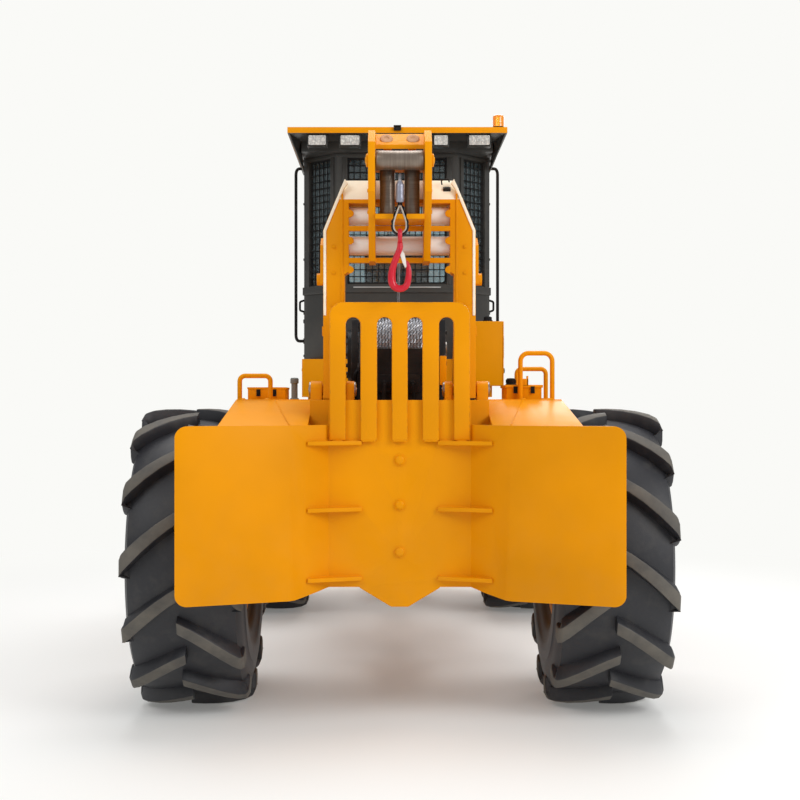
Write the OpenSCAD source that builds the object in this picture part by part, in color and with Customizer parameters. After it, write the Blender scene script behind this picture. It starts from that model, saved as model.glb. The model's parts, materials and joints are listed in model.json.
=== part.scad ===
// Articulated cable skidder: rear frame with winch, arch and butt plate, front frame with cab and blade.
// X is to the right, Y is forward and Z is up. The origin is on the ground below the middle of the machine.

/* [Wheels] */
// Diameter of each tyre over its lugs
tyre_d = 1610; // [1500:5:1660]
// Width of each tyre over its sidewalls
tyre_w = 610; // [540:5:640]
// Diameter of the bead seat of each rim
rim_d = 660; // [620:5:720]
// Distance from the centre line to the middle of a rear tyre
rear_wheel_x = 1095; // [1070:5:1150]
// Distance from the centre line to the middle of a front tyre
front_wheel_x = 1000; // [985:5:1080]

/* [Layout] */
// Distance between the two axles
wheelbase = 3300; // [3250:10:3500]
// Gap between the rear tyres and the wing tips
wing_gap = 145; // [125:5:195]
// Distance from the front axle to the blade's edge
front_overhang = 1300; // [1290:5:1400]

/* [Frames] */
// Outside half width of the rear frame
rear_frame_x = 270; // [255:5:280]
// Outside half width of the front frame
front_frame_x = 290; // [280:5:300]
// Thickness of the frame side plates
side_t = 40; // [25:1:45]
// Thickness of the frame cross plates
plate_t = 30; // [15:1:35]
// Underside of both frames above the ground
frame_low = 560; // [530:5:575]
// Top of the rear frame above the ground
frame_top = 1180; // [1160:5:1190]
// Radius of the steering hinge pins
hinge_pin_r = 45; // [35:1:60]
// Radius of the round ends of the hinge ears
hinge_ear_r = 150; // [120:5:155]
// Thickness of each hinge ear
hinge_ear_t = 52; // [40:1:56]

/* [Butt plate] */
// Half width over the wings
wing_x = 1088; // [1050:2:1120]
// Underside of the wings above the ground
wing_low = 656; // [630:2:690]
// Top of the wings above the ground
wing_top = 1530; // [1510:2:1545]
// Half width of the centre plate between its bends
centre_x = 364; // [350:2:380]
// Thickness of the plate
butt_t = 32; // [20:1:40]
// Radius of the outer corners of the wings
wing_corner_r = 58; // [20:1:90]

/* [Log guard] */
// Half width of the guard
guard_x = 358; // [345:1:363]
// Top of the guard above the ground
guard_top = 2156; // [2100:2:2220]
// Width of each slot
slot_w = 75; // [60:1:80]
// Thickness of the guard plate
guard_t = 25; // [15:1:30]

/* [Fenders] */
// Gap between the rear tyres and the decks above them
deck_gap = 29; // [15:1:40]
// Half width over the fender decks
deck_x = 895; // [850:5:920]
// Thickness of the deck plate
deck_t = 18; // [8:1:20]

/* [Arch] */
// Outside half width of the arch legs
arch_x = 400; // [395:1:404]
// Width of each arch leg
leg_w = 112; // [90:1:115]
// Depth of the arch legs from front to back
leg_d = 130; // [100:2:150]
// Top of the arch above the ground
arch_top = 2818; // [2800:2:2850]
// Thickness of the side plates of the fairlead head
head_t = 35; // [20:1:40]
// Inside half width of the fairlead head
head_in = 125; // [118:1:130]

/* [Winch] */
// Radius of the winch drum's flanges
drum_flange_r = 205; // [195:1:215]
// Radius over the wound cable
wound_r = 180; // [165:1:186]
// Radius of the winch cable
cable_r = 9; // [6:0.5:11]

/* [Cab] */
// Half width of the cab
cab_x = 633; // [620:1:645]
// Length of the cab
cab_l = 1175; // [1150:5:1200]
// Cab floor above the ground
cab_floor = 1930; // [1925:1:1945]
// Top of the cab walls above the ground
cab_top = 3300; // [3260:5:3340]
// Thickness of the cab walls and doors
wall_t = 55; // [40:1:60]
// Height of the cab roof
roof_h = 104; // [90:1:130]
// Half width of the roof
roof_x = 704; // [690:1:730]

/* [Blade] */
// Half width of the dozer blade
blade_x = 1150; // [1000:10:1250]
// Underside of the blade above the ground
blade_low = 250; // [220:5:300]
// Height of the blade
blade_h = 740; // [700:5:760]

/* [Hidden] */
$fn = 48;

yellow = [0.93, 0.61, 0.02];
dark = [0.17, 0.17, 0.17];
steel = [0.45, 0.43, 0.42];
cream = [0.92, 0.88, 0.78];
glass = [0.6, 0.7, 0.75, 0.4];
fit = 0.06;          // radial clearance of a turning fit
seat_gap = 0.3;      // gap between a piece and a curved seat
run_gap = 8;         // gap beside a piece that moves

// places along the machine
rear_overhang = tyre_d / 2 + wing_gap;
rear_y = rear_overhang - (rear_overhang + wheelbase + front_overhang) / 2;
front_y = rear_y + wheelbase;
hinge_y = rear_y + wheelbase / 2;
axle_z = tyre_d / 2;
wing_y = rear_y - rear_overhang;
fold_y = wing_y + 210;
centre_y = wing_y + 400;
fold_x = centre_x + 190;
guard_low = 1450;
deck_top = tyre_d + deck_gap + deck_t;
slope_y = rear_y - 45;
deck_front = rear_y + 700;
arch_y = rear_y - 370;
leg_in = arch_x - leg_w;
tower_x = arch_x + 10;
brace_y = rear_y + 450;
drum_y = rear_y + 475;
drum_z = 1960;
ear_z = deck_top + 55;

// small helpers
module block(x, y, z) {
    translate([x[0], y[0], z[0]]) cube([x[1] - x[0], y[1] - y[0], z[1] - z[0]]);
}
module xrod(r, x, y, z) {
    translate([x[0], y, z]) rotate([0, 90, 0]) cylinder(r = r, h = x[1] - x[0]);
}
module yrod(r, x, y, z) {
    translate([x, y[0], z]) rotate([-90, 0, 0]) cylinder(r = r, h = y[1] - y[0]);
}
module zrod(r, x, y, z) {
    translate([x, y, z[0]]) cylinder(r = r, h = z[1] - z[0]);
}
module both() {
    children();
    mirror([1, 0, 0]) children();
}
// a side outline given as [y, z] points, as a plate between two values of x
module side_plate(x, points) {
    translate([x[0], 0, 0]) rotate([90, 0, 90]) linear_extrude(x[1] - x[0]) polygon(points);
}
// a front outline given as [x, z] points, as a plate between two values of y
module front_plate(y, points) {
    translate([0, y[1], 0]) rotate([90, 0, 0]) linear_extrude(y[1] - y[0]) polygon(points);
}
// a bent grab rail: two legs and a top bar, in the plane of one value of y
module rail_x(r, x, y, z, bend) {
    for (side = [0, 1]) {
        zrod(r, x[side], y, [z[0], z[1] - bend]);
        translate([x[side] + (side == 0 ? bend : -bend), y, z[1] - bend]) rotate([90, 0, 0])
            rotate([0, 0, side == 0 ? 90 : 0]) rotate_extrude(angle = 90) translate([bend, 0]) circle(r);
    }
    xrod(r, [x[0] + bend, x[1] - bend], y, z[1]);
}

// ---- rear frame, with the towers that carry the arch ----
tower_y = [arch_y - 30, arch_y + leg_d + 30];
nose_x = 170;
rear_body_front = hinge_y - 700;
steer_z = 880;
steer_pin_r = 22;
steer_a = [330, -640];
steer_b = [220, 180];
module hinge_ear(dir, z) {
    difference() {
        union() {
            zrod(hinge_ear_r, 0, hinge_y, z);
            block([-hinge_ear_r, hinge_ear_r], [hinge_y + min(0, dir * 260), hinge_y + max(0, dir * 260)], z);
        }
        if (dir < 0) zrod(hinge_pin_r + fit, 0, hinge_y, [z[0] - 1, z[1] + 1]);
    }
}
// lower and upper levels of the rear frame's hinge ears
rear_ear_z = [[604, 604 + hinge_ear_t], [1084, 1084 + hinge_ear_t]];
tail_low = wing_low + 50;    // underside of the frame at the butt plate
module rear_frame() color(yellow) difference() {
    union() {
        both() {
            side_plate([rear_frame_x - side_t, rear_frame_x], [[centre_y + butt_t, tail_low],
                [rear_y + 520, frame_low], [rear_body_front, frame_low], [rear_body_front, frame_top],
                [centre_y + butt_t, frame_top]]);
            block([nose_x - side_t, nose_x], [rear_body_front, hinge_y - 260], [frame_low, frame_top]);
            // arch tower with its two round ears
            block([rear_frame_x, arch_x + 68], tower_y, [frame_top - 100, deck_top]);
            for (x = [[leg_in - 50, leg_in - 8], [arch_x + 8, arch_x + 68]]) {
                block(x, [arch_y + leg_d / 2 - 45, arch_y + leg_d / 2 + 45], [deck_top - 1, ear_z]);
                xrod(45, x, arch_y + leg_d / 2, ear_z);
            }
            block([leg_in - 50, rear_frame_x + 1], tower_y, [deck_top - 60, deck_top]);
            // outrigger that carries the tank and the foot of the brace
            block([rear_frame_x, 700], [tower_y[1], brace_y + 80], [frame_top - 30, frame_top]);
            // bracket and pin of the steering cylinder
            zrod(steer_pin_r, steer_a[0], hinge_y + steer_a[1], [steer_z - 90, steer_z + 90]);
            for (z = [[steer_z - 90, steer_z - 58], [steer_z + 58, steer_z + 90]])
                block([nose_x, steer_a[0] + 60], [rear_body_front, hinge_y + steer_a[1] + 50], z);
        }
        block([-rear_frame_x, rear_frame_x], [rear_body_front - plate_t, rear_body_front],
            [frame_low, frame_top]);
        block([-nose_x, nose_x], [hinge_y - 260 - plate_t, hinge_y - 260], [frame_low, frame_top]);
        side_plate([-rear_frame_x, rear_frame_x], [[centre_y + butt_t, tail_low], [rear_y + 520, frame_low],
            [rear_body_front, frame_low], [rear_body_front, frame_low + plate_t],
            [rear_y + 520, frame_low + plate_t], [centre_y + butt_t, tail_low + plate_t]]);
        block([-nose_x, nose_x], [rear_body_front, hinge_y - 260], [frame_low, frame_low + plate_t]);
        block([-rear_frame_x, rear_frame_x], [centre_y + butt_t, rear_body_front],
            [frame_top - plate_t, frame_top]);
        for (z = rear_ear_z) hinge_ear(-1, z);
    }
    both() xrod(arch_pin_r + seat_gap, [leg_in - 61, arch_x + 79], arch_y + leg_d / 2, ear_z);
    xrod(axle_r + seat_gap, [-500, 500], rear_y, axle_z);
    // the underside is open round the middle of the axle
    xrod(215, [-155, 155], rear_y, axle_z);
    yrod(70, 0, [rear_body_front - 100, hinge_y], shaft_z);
}

// ---- butt plate: flat centre, slanting panels and swept wings ----
bolt_z = [880, 1120, 1350];
gusset_z = [737, 1090, 1428];
module butt_outline() {
    side = [[wing_x, wing_y], [fold_x, fold_y], [centre_x, centre_y]];
    back = [for (p = side) p, for (i = [2:-1:0]) [-side[i][0], side[i][1]]];
    polygon([for (p = back) p, for (i = [5:-1:0]) [back[i][0], back[i][1] + butt_t]]);
}
module butt_plate() color(yellow) {
    difference() {
        translate([0, 0, wing_low]) linear_extrude(wing_top - wing_low) butt_outline();
        both() {
            // rounded outer corners
            for (z = [[wing_low, 1], [wing_top, -1]]) difference() {
                block([wing_x - wing_corner_r, wing_x + 1], [wing_y - 1, fold_y],
                    [min(z[0] - z[1], z[0] + z[1] * wing_corner_r), max(z[0] - z[1], z[0] + z[1] * wing_corner_r)]);
                yrod(wing_corner_r, wing_x - wing_corner_r, [wing_y - 2, fold_y + 1], z[0] + z[1] * wing_corner_r);
            }
        }
        // the slanting panels rise towards the centre
        front_plate([centre_y - 200, centre_y + 100], [[-centre_x, wing_low - 1], [-centre_x, wing_low + 45],
            [centre_x, wing_low + 45], [centre_x, wing_low - 1]]);
        both() front_plate([centre_y - 160, centre_y + 100], [[centre_x - 1, wing_low - 1],
            [centre_x - 1, wing_low + 45], [centre_x + 60, wing_low + 26], [centre_x + 130, wing_low + 8],
            [fold_x - 20, wing_low - 1]]);
    }
    block([-centre_x, centre_x], [centre_y, centre_y + butt_t], [wing_top - 1, deck_top]);
    // keel nose below the centre
    front_plate([centre_y, centre_y + butt_t], [[-205, wing_low + 46], [-42, 600], [42, 600], [205, wing_low + 46]]);
    for (z = bolt_z) intersection() {
        yrod(22, 0, [centre_y - 14, centre_y + 1], z);
        translate([0, centre_y + 10, z]) sphere(r = 26);
    }
    both() for (z = gusset_z) translate([0, 0, z]) linear_extrude(20)
        polygon([[centre_x - 170, centre_y + 1], [centre_x - 170, centre_y - 20], [centre_x + 100, centre_y - 116],
            [centre_x + 102, centre_y - 100], [centre_x + 1, centre_y + 1]]);
}

// ---- log guard: an upright plate with four slots ----
slot_x = [-238, -78, 78, 238];
module log_guard() color(yellow) {
    r = 70;
    translate([0, centre_y, 0]) rotate([90, 0, 0]) linear_extrude(guard_t) difference() {
        union() {
            translate([-guard_x, guard_low]) square([2 * guard_x, guard_top - guard_low - r]);
            translate([r - guard_x, guard_top - r - 1]) square([2 * (guard_x - r), r + 1]);
            for (s = [-1, 1]) translate([s * (guard_x - r), guard_top - r]) circle(r);
        }
        for (x = slot_x) {
            translate([x - slot_w / 2, guard_low - 1]) square([slot_w, 2079 - slot_w / 2 - guard_low + 1]);
            translate([x, 2079 - slot_w / 2]) circle(slot_w / 2);
        }
    }
}

// ---- rear fenders: tanks under flat decks that slope down to the wings ----
module sloped(points, top) {
    // points are the deck corners as [x, y, z]; the plate hangs deck_t below them
    hull() for (p = points) translate([p[0], p[1], p[2] - deck_t]) cube([0.01, 0.01, deck_t]);
}
deck_in = arch_x + 68;
module rear_fenders() color(yellow) both() {
    block([deck_in, deck_x], [slope_y, deck_front], [deck_top - deck_t, deck_top]);
    sloped([[deck_x, wing_y + 110, wing_top], [fold_x, fold_y + butt_t + 1, wing_top],
        [deck_x, slope_y, deck_top], [deck_x - 215, slope_y, deck_top]]);
    sloped([[fold_x, fold_y + butt_t + 1, wing_top], [deck_in, centre_y - 70, wing_top],
        [deck_x - 215, slope_y, deck_top], [deck_in, slope_y, deck_top]]);
    // tank below the deck
    block([deck_in, 700], [slope_y, brace_y + 80], [frame_top, deck_top - deck_t]);
    block([deck_in, 700], [centre_y + 120, slope_y], [frame_top, wing_top + 10]);
    block([arch_x + 69, 700], [brace_y + 80, deck_front], [frame_top + 80, deck_top - deck_t]);
}

// ---- grab rails and boxes on the decks ----
module deck_rails() color(yellow) {
    rail_x(13, [-877, -708], slope_y + 30, [deck_top, deck_top + 133], 30);
    rail_x(13, [670, 845], slope_y + 30, [deck_top, deck_top + 258], 45);
    rail_x(13, [700, 872], slope_y + 560, [deck_top, deck_top + 183], 30);
    block([-850, -640], [rear_y + 150, rear_y + 450], [deck_top, deck_top + 70]);
    block([595, 790], [slope_y + 60, slope_y + 370], [deck_top, deck_top + 68]);
    block([588, 797], [slope_y + 53, slope_y + 377], [deck_top + 68, deck_top + 84]);
}

// ---- arch: portal frame with cross rails and two braces ----
arch_pin_r = 30;
beam_low = arch_top - 128;
knee_z = arch_top - 318;
strip = 22;                  // width of the strips inside the legs
strip_low = arch_top - 488;
bevel = [62, 108];           // depth and height of the slope on the back of the beam
cross_z = [arch_top - 441, arch_top - 273];
spacer_z = [arch_top - 344, arch_top - 186];
arch_outer = [[arch_x, ear_z - 45], [arch_x, knee_z + 47], [arch_x - 91, arch_top - 48], [leg_in, arch_top]];
arch_inner = [[leg_in - strip, beam_low], [leg_in - strip, strip_low], [leg_in, strip_low - 12],
    [leg_in, ear_z - 45]];
module portal(y) {
    difference() {
        for (s = [-1, 1]) front_plate(y, [for (p = arch_outer) [s * p[0], p[1]], [0, arch_top],
            [0, arch_inner[0][1]], for (p = arch_inner) [s * p[0], p[1]]]);
        side_plate([-arch_x - 1, arch_x + 1], [[arch_y - 2, arch_top - bevel[1]], [arch_y, arch_top - bevel[1]],
            [arch_y + bevel[0], arch_top], [arch_y + bevel[0], arch_top + 1], [arch_y - 2, arch_top + 1]]);
    }
}
module arch() color(yellow) {
    portal([arch_y, arch_y + leg_d]);
    for (z = cross_z) block([-leg_in - 1, leg_in + 1], [arch_y, arch_y + 30], [z, z + 26]);
    both() {
        // upright beside the fairlead, from the lower rail to the top beam
        block([head_in, head_in + head_t], [arch_y, arch_y + leg_d], [cross_z[0], beam_low + 1]);
        // brace down to its foot in front
        side_plate([leg_in + 15, arch_x - 15], [[arch_y + leg_d - 1, knee_z - 170],
            [arch_y + leg_d - 1, knee_z], [brace_y + 60, frame_top + 50], [brace_y - 60, frame_top + 50]]);
        xrod(arch_pin_r, [leg_in - 60, arch_x + 78], arch_y + leg_d / 2, ear_z);
        // cheek outside the leg, with its boss
        side_plate([arch_x - 1, arch_x + 16], [[arch_y + 15, knee_z - 232], [arch_y + leg_d - 15, knee_z - 232],
            [arch_y + leg_d - 15, knee_z + 20], [arch_y + 15, knee_z - 30]]);
        xrod(32, [arch_x - 1, arch_x + 36], arch_y + leg_d / 2, knee_z - 205);
        block([leg_in, arch_x], [brace_y - 80, brace_y + 80], [frame_top, frame_top + 51]);
    }
}
// cream spacer tubes between the legs and the fairlead uprights
module arch_spacers() color(cream) {
    difference() {
        both() {
            xrod(48, [head_in + head_t, leg_in], arch_y + 79, spacer_z[1]);
            xrod(50, [head_in + head_t, leg_in], arch_y + 80, spacer_z[0]);
        }
        portal([arch_y - 1, arch_y + leg_d + 1]);
    }
    xrod(50, [-head_in, head_in], arch_y + 80, spacer_z[0]);
}

// ---- fairlead head: two side plates that carry the rollers ----
head_back = rear_y - 700;
roll_top = [rear_y - 640, arch_top + 48];   // y and z of the lying roller
roll_side = [63, rear_y - 550];    // x and y of the upright rollers
roll_pin = 15;
shelf_z = arch_top - 220;   // top of the shelf below the upright rollers
cover_z = arch_top + 22;    // underside of the plate above them
head_top = arch_top + 209;
module fairlead_head() color(yellow) {
    difference() {
        both() side_plate([head_in, head_in + head_t], [[arch_y, cross_z[0]],
            [arch_y, arch_top - bevel[1] + 0.5], [arch_y + bevel[0] - 0.6, arch_top], [rear_y - 500, head_top], [rear_y - 590, head_top], [head_back, head_top - 77],
            [head_back, head_top - 327], [rear_y - 600, shelf_z - 28], [rear_y - 450, cross_z[0]]]);
        xrod(roll_pin + seat_gap, [-head_in - 50, head_in + 50], roll_top[0], roll_top[1]);
    }
    xrod(roll_pin, [-head_in - head_t - 12, head_in + head_t + 12], roll_top[0], roll_top[1]);
    block([-head_in, head_in], [rear_y - 630, arch_y], [shelf_z - 25, shelf_z]);
    block([-head_in, head_in], [rear_y - 584, rear_y - 430], [cover_z, cover_z + 22]);
    side_plate([-head_in, head_in], [[rear_y - 500, head_top - 22], [rear_y - 500, head_top],
        [rear_y - 590, head_top - 72], [rear_y - 590, head_top - 94]]);
    both() zrod(roll_pin, roll_side[0], roll_side[1], [shelf_z - 1, cover_z + 1]);
    // caps of the upright rollers' pins
    both() zrod(20, roll_side[0], roll_side[1] - 4, [cover_z + 21, head_top - 57]);
}
module roller_top() color(steel) difference() {
    xrod(50, [-head_in + 3, head_in - 3], roll_top[0], roll_top[1]);
    xrod(roll_pin + fit, [-head_in, head_in], roll_top[0], roll_top[1]);
}
module roller_side(s) color(steel) difference() {
    zrod(40, s * roll_side[0], roll_side[1], [shelf_z + 3, cover_z - 3]);
    zrod(roll_pin + fit, s * roll_side[0], roll_side[1], [shelf_z + 2, cover_z - 2]);
}
module roller_left() roller_side(-1);
module roller_right() roller_side(1);

// ---- winch ----
winch_x = 230;   // inside half width of the winch housing
module winch_housing() color(dark) {
    difference() {
        both() side_plate([winch_x, winch_x + 40], [[rear_y + 200, frame_top], [rear_y + 200, 1800],
            [rear_y + 330, 2120], [rear_y + 620, 2120], [rear_y + 760, 1850], [rear_y + 760, frame_top]]);
        xrod(40 + fit, [-300, 300], drum_y, drum_z);
    }
    block([-winch_x, winch_x], [rear_y + 210, rear_y + 760], [frame_top, frame_top + 60]);
    block([-winch_x, winch_x], [rear_y + 215, rear_y + 240], [frame_top + 60, 1950]);
    block([-winch_x, winch_x], [rear_y + 720, rear_y + 745], [frame_top + 60, 1850]);
    // gearbox on the left, motor on the right
    difference() {
        xrod(150, [-294, -winch_x - 40], drum_y, drum_z - 40);
        xrod(40 + fit, [-296, 0], drum_y, drum_z);
    }
}
module winch_drum() color(steel) {
    xrod(90, [-195, 195], drum_y, drum_z);
    xrod(40, [-winch_x - 55, winch_x + 55], drum_y, drum_z);
    both() xrod(drum_flange_r, [195, 212], drum_y, drum_z);
    xrod(wound_r, [-195, 195], drum_y, drum_z);
}
// cable: over the drum, straight to the fairlead, round its lip and down to the ferrule
lip_r = 60;
lead = [rear_y - 575, arch_top - 28];
run_a = atan2(lead[1] - drum_z, lead[0] - drum_y);
run_l = norm([lead[0] - drum_y, lead[1] - drum_z]);
take_r = wound_r + cable_r + seat_gap;
take_a = run_a - acos(take_r / run_l);
take = [drum_y + take_r * cos(take_a), drum_z + take_r * sin(take_a)];
rise_a = atan2(lead[1] - take[1], lead[0] - take[0]);
lip = [lead[0] + lip_r * cos(rise_a + 90), lead[1] + lip_r * sin(rise_a + 90)];
hang_y = lip[0] - lip_r;
thimble_z = arch_top - 313;
module winch_cable() color(steel) {
    cable_tube();
    zrod(24, 0, hang_y, [thimble_z + 130, thimble_z + 220]);
    // thimble: a ring at the end of the eye, and the eye's two legs
    difference() {
        yrod(46, 0, [hang_y - 11, hang_y + 11], thimble_z + 24);
        yrod(30, 0, [hang_y - 12, hang_y + 12], thimble_z + 24);
    }
    front_plate([hang_y - 9, hang_y + 9], [[-20, thimble_z + 145], [20, thimble_z + 145], [45, thimble_z + 30],
        [30, thimble_z + 34], [0, thimble_z + 105], [-30, thimble_z + 34], [-45, thimble_z + 30]]);
}
// the cable's middle line in [y, z]: the straight run, the bend over the lip and the drop
cable_line = [take, take + (lead - take) / 3, take + 2 * (lead - take) / 3,
    for (i = [0:8]) let (a = rise_a - 90 + (270 - rise_a) * i / 8) lip + lip_r * [cos(a), sin(a)],
    [hang_y, thimble_z + 175]];
// a ring of the tube at point i, square to the line there
function cable_ring(i) = let (
    last = len(cable_line) - 1,
    d = cable_line[min(i + 1, last)] - cable_line[max(i - 1, 0)],
    n = [-d[1], d[0]] / norm(d))
    [for (k = [0:7]) [cable_r * cos(k * 45), cable_line[i][0] + n[0] * cable_r * sin(k * 45),
        cable_line[i][1] + n[1] * cable_r * sin(k * 45)]];
module cable_tube() {
    rings = len(cable_line);
    polyhedron([for (i = [0:rings - 1]) each cable_ring(i)], [
        [for (k = [7:-1:0]) k], [for (k = [0:7]) (rings - 1) * 8 + k],
        for (i = [0:rings - 2], k = [0:7]) let (a = i * 8, b = a + 8, c = (k + 1) % 8)
            [a + c, b + c, b + k, a + k]]);
}
// hook, hanging in the thimble: an eye across the thimble, a shank, a bowl and a latch
hook_eye_z = thimble_z - 25.2;
hook_r = 18;      // radius of the hook's round section
bowl_r = 40;
bowl_z = thimble_z - 251;
module hook() color([0.78, 0.1, 0.16]) {
    difference() {
        xrod(40, [-12, 12], hang_y, hook_eye_z);
        xrod(25, [-13, 13], hang_y, hook_eye_z);
    }
    // shank that widens down to the back of the bowl
    front_plate([hang_y - hook_r, hang_y + hook_r], [[-14, hook_eye_z - 30], [14, hook_eye_z - 30],
        [17, bowl_z + 150], [bowl_r - 62, bowl_z + 40], [hook_r - bowl_r, bowl_z - 1],
        [-hook_r - bowl_r, bowl_z - 1], [-hook_r - bowl_r, bowl_z + 50], [-40, bowl_z + 130]]);
    translate([0, hang_y, bowl_z]) rotate([90, 0, 0]) rotate([0, 0, 180]) rotate_extrude(angle = 195)
        translate([bowl_r, 0]) circle(hook_r);
    // point of the hook and its latch
    front_plate([hang_y - 12, hang_y + 12], [[bowl_r - 16, bowl_z + 4], [bowl_r + 15, bowl_z + 4],
        [bowl_r + 4, bowl_z + 58], [bowl_r - 8, bowl_z + 58]]);
    front_plate([hang_y - 7, hang_y + 7], [[0, bowl_z + 145], [14, bowl_z + 150], [bowl_r - 2, bowl_z + 50],
        [bowl_r - 14, bowl_z + 46]]);
}

// ---- rear axle and driveshaft ----
axle_r = 125;
spindle_r = 80;
shaft_z = axle_z + 60;
module axle(y, wheel_x, clear) {
    xrod(axle_r, [-wheel_x + 270, wheel_x - 270], y, axle_z);
    xrod(spindle_r, [-wheel_x + 90, wheel_x - 90], y, axle_z);
    xrod(200, [-140, 140], y, axle_z);
    both() xrod(165, [wheel_x - 320, wheel_x - 270], y, axle_z);
}
module rear_axle() color(dark) {
    axle(rear_y, rear_wheel_x, 0);
    yrod(80, 0, [rear_y, rear_y + 300], shaft_z);
}
module driveshaft() color(dark) {
    yrod(38, 0, [rear_y + 300, hinge_y - 40], shaft_z);
    yrod(62, 0, [rear_y + 300, rear_y + 360], shaft_z);
}

// ---- wheels ----
rim_r = rim_d / 2;
lugs = 13;            // tread bars in each of the two rows
lug_h = 55;           // depth of the bars
lug_t = 64;           // thickness of a bar over its top
lug_flank = 18;       // how far its sides slope out
steps = 4 * lugs;     // points round each row of the skin
// rows of the skin from the bead to the middle: distance from the middle and radius between the
// bars, the same on the bars, and by how many degrees the bar trails its tip; side rows carry no bar
function skin_rows() = let (w = tyre_w / 2, r = tyre_d / 2, c = r - lug_h) [
    [w - 80, (rim_r + seat_gap) / cos(180 / steps), 0, 0, 20],
    [w - 20, rim_r + 90, 0, 0, 20],
    [w, rim_r + 240, 0, 0, 20],
    [w - 6, c - 85, 0, 0, 20],
    [w - 18, c - 45, w - 1, r - 60, 19],
    [w - 75, c - 8, w - 25, r - 12, 16.5],
    [14, c, 14, r / cos(lug_t / 2 / r * 180 / PI), 0]];
// element e of a row: four to a bar, the middle two on its top; a bar's tip on the left is lowest
function skin_point(y, x, side, row, e) = let (
    k = (e + steps) % 4, bar = floor(e / 4), top = row[3] > 0 && (k == 1 || k == 2),
    half = top ? lug_t / 2 : lug_t / 2 + lug_flank,
    near = (k < 2 ? -1 : 1) * half / row[1] * 180 / PI,
    even = (k - 1.5) * 360 / steps,
    turn = 270 + (bar + (side > 0 ? 0.5 : 0)) * 360 / lugs + row[4] + (row[3] > 0 ? near : even))
    [x + side * row[top ? 2 : 0], y + row[top ? 3 : 1] * cos(turn), axle_z + row[top ? 3 : 1] * sin(turn)];
module tyre(y, x) color([0.12, 0.12, 0.13]) {
    rows = skin_rows();
    last = len(rows) - 1;
    points = [for (row = rows, j = [0:steps - 1]) skin_point(y, x, -1, row, j),
        for (i = [last:-1:0], j = [0:steps - 1]) skin_point(y, x, 1, rows[i], j - 2)];
    count = 2 * (last + 1);
    polyhedron(points, [for (i = [0:count - 1], j = [0:steps - 1])
        let (a = i * steps, b = (i + 1) % count * steps, n = (j + 1) % steps)
            each [[a + j, b + j, b + n], [a + j, b + n, a + n]]]);
}
// the hub side faces the centre of the machine: side is 1 on the right and -1 on the left
module rim(y, x, side) color(yellow) translate([x, y, axle_z]) scale([1, 1, 1]) rotate([0, 90, 0]) {
    w = tyre_w / 2;
    flip = side > 0 ? 0 : 180;
    rotate([flip, 0, 0]) {
        rotate_extrude($fn = 72) polygon([[rim_r - 22, -w + 66], [rim_r + 22, -w + 58], [rim_r + 22, -w + 61.5],
            [rim_r, -w + 80], [rim_r, w - 80], [rim_r + 22, w - 61.5], [rim_r + 22, w - 58],
            [rim_r - 22, w - 66], [rim_r - 22, 20], [200, -20], [150, -20], [150, 60], [100, 90], [0, 90],
            [0, -80], [spindle_r + fit, -80], [spindle_r + fit, -269], [190, -269], [190, -60],
            [rim_r - 22, -20]]);
    }
}
module tyre_rear_left() tyre(rear_y, -rear_wheel_x);
module tyre_rear_right() tyre(rear_y, rear_wheel_x);
module tyre_front_left() tyre(front_y, -front_wheel_x);
module tyre_front_right() tyre(front_y, front_wheel_x);
module rim_rear_left() rim(rear_y, -rear_wheel_x, -1);
module rim_rear_right() rim(rear_y, rear_wheel_x, 1);
module rim_front_left() rim(front_y, -front_wheel_x, -1);
module rim_front_right() rim(front_y, front_wheel_x, 1);

// ---- steering cylinders ----
steer_l = norm(steer_b - steer_a);
module steer_place(s) {
    dx = steer_b[0] - steer_a[0];
    dy = steer_b[1] - steer_a[1];
    translate([s * steer_a[0], hinge_y + steer_a[1], steer_z]) rotate([0, 0, -s * atan2(dx, dy)]) children();
}
module steer_barrel(s) color(dark) steer_place(s) difference() {
    union() {
        yrod(48, 0, [40, 540], 0);
        zrod(42, 0, 0, [-50, 50]);
        block([-30, 30], [0, 60], [-45, 45]);
    }
    yrod(25 + fit, 0, [70, 600], 0);
    zrod(steer_pin_r + fit, 0, 0, [-60, 60]);
}
module steer_rod(s) color([0.8, 0.8, 0.82]) steer_place(s) {
    yrod(25, 0, [270, steer_l - 30], 0);
    zrod(36, 0, steer_l, [-40, 40]);
}
module steer_barrel_left() steer_barrel(-1);
module steer_barrel_right() steer_barrel(1);
module steer_rod_left() steer_rod(-1);
module steer_rod_right() steer_rod(1);

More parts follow.
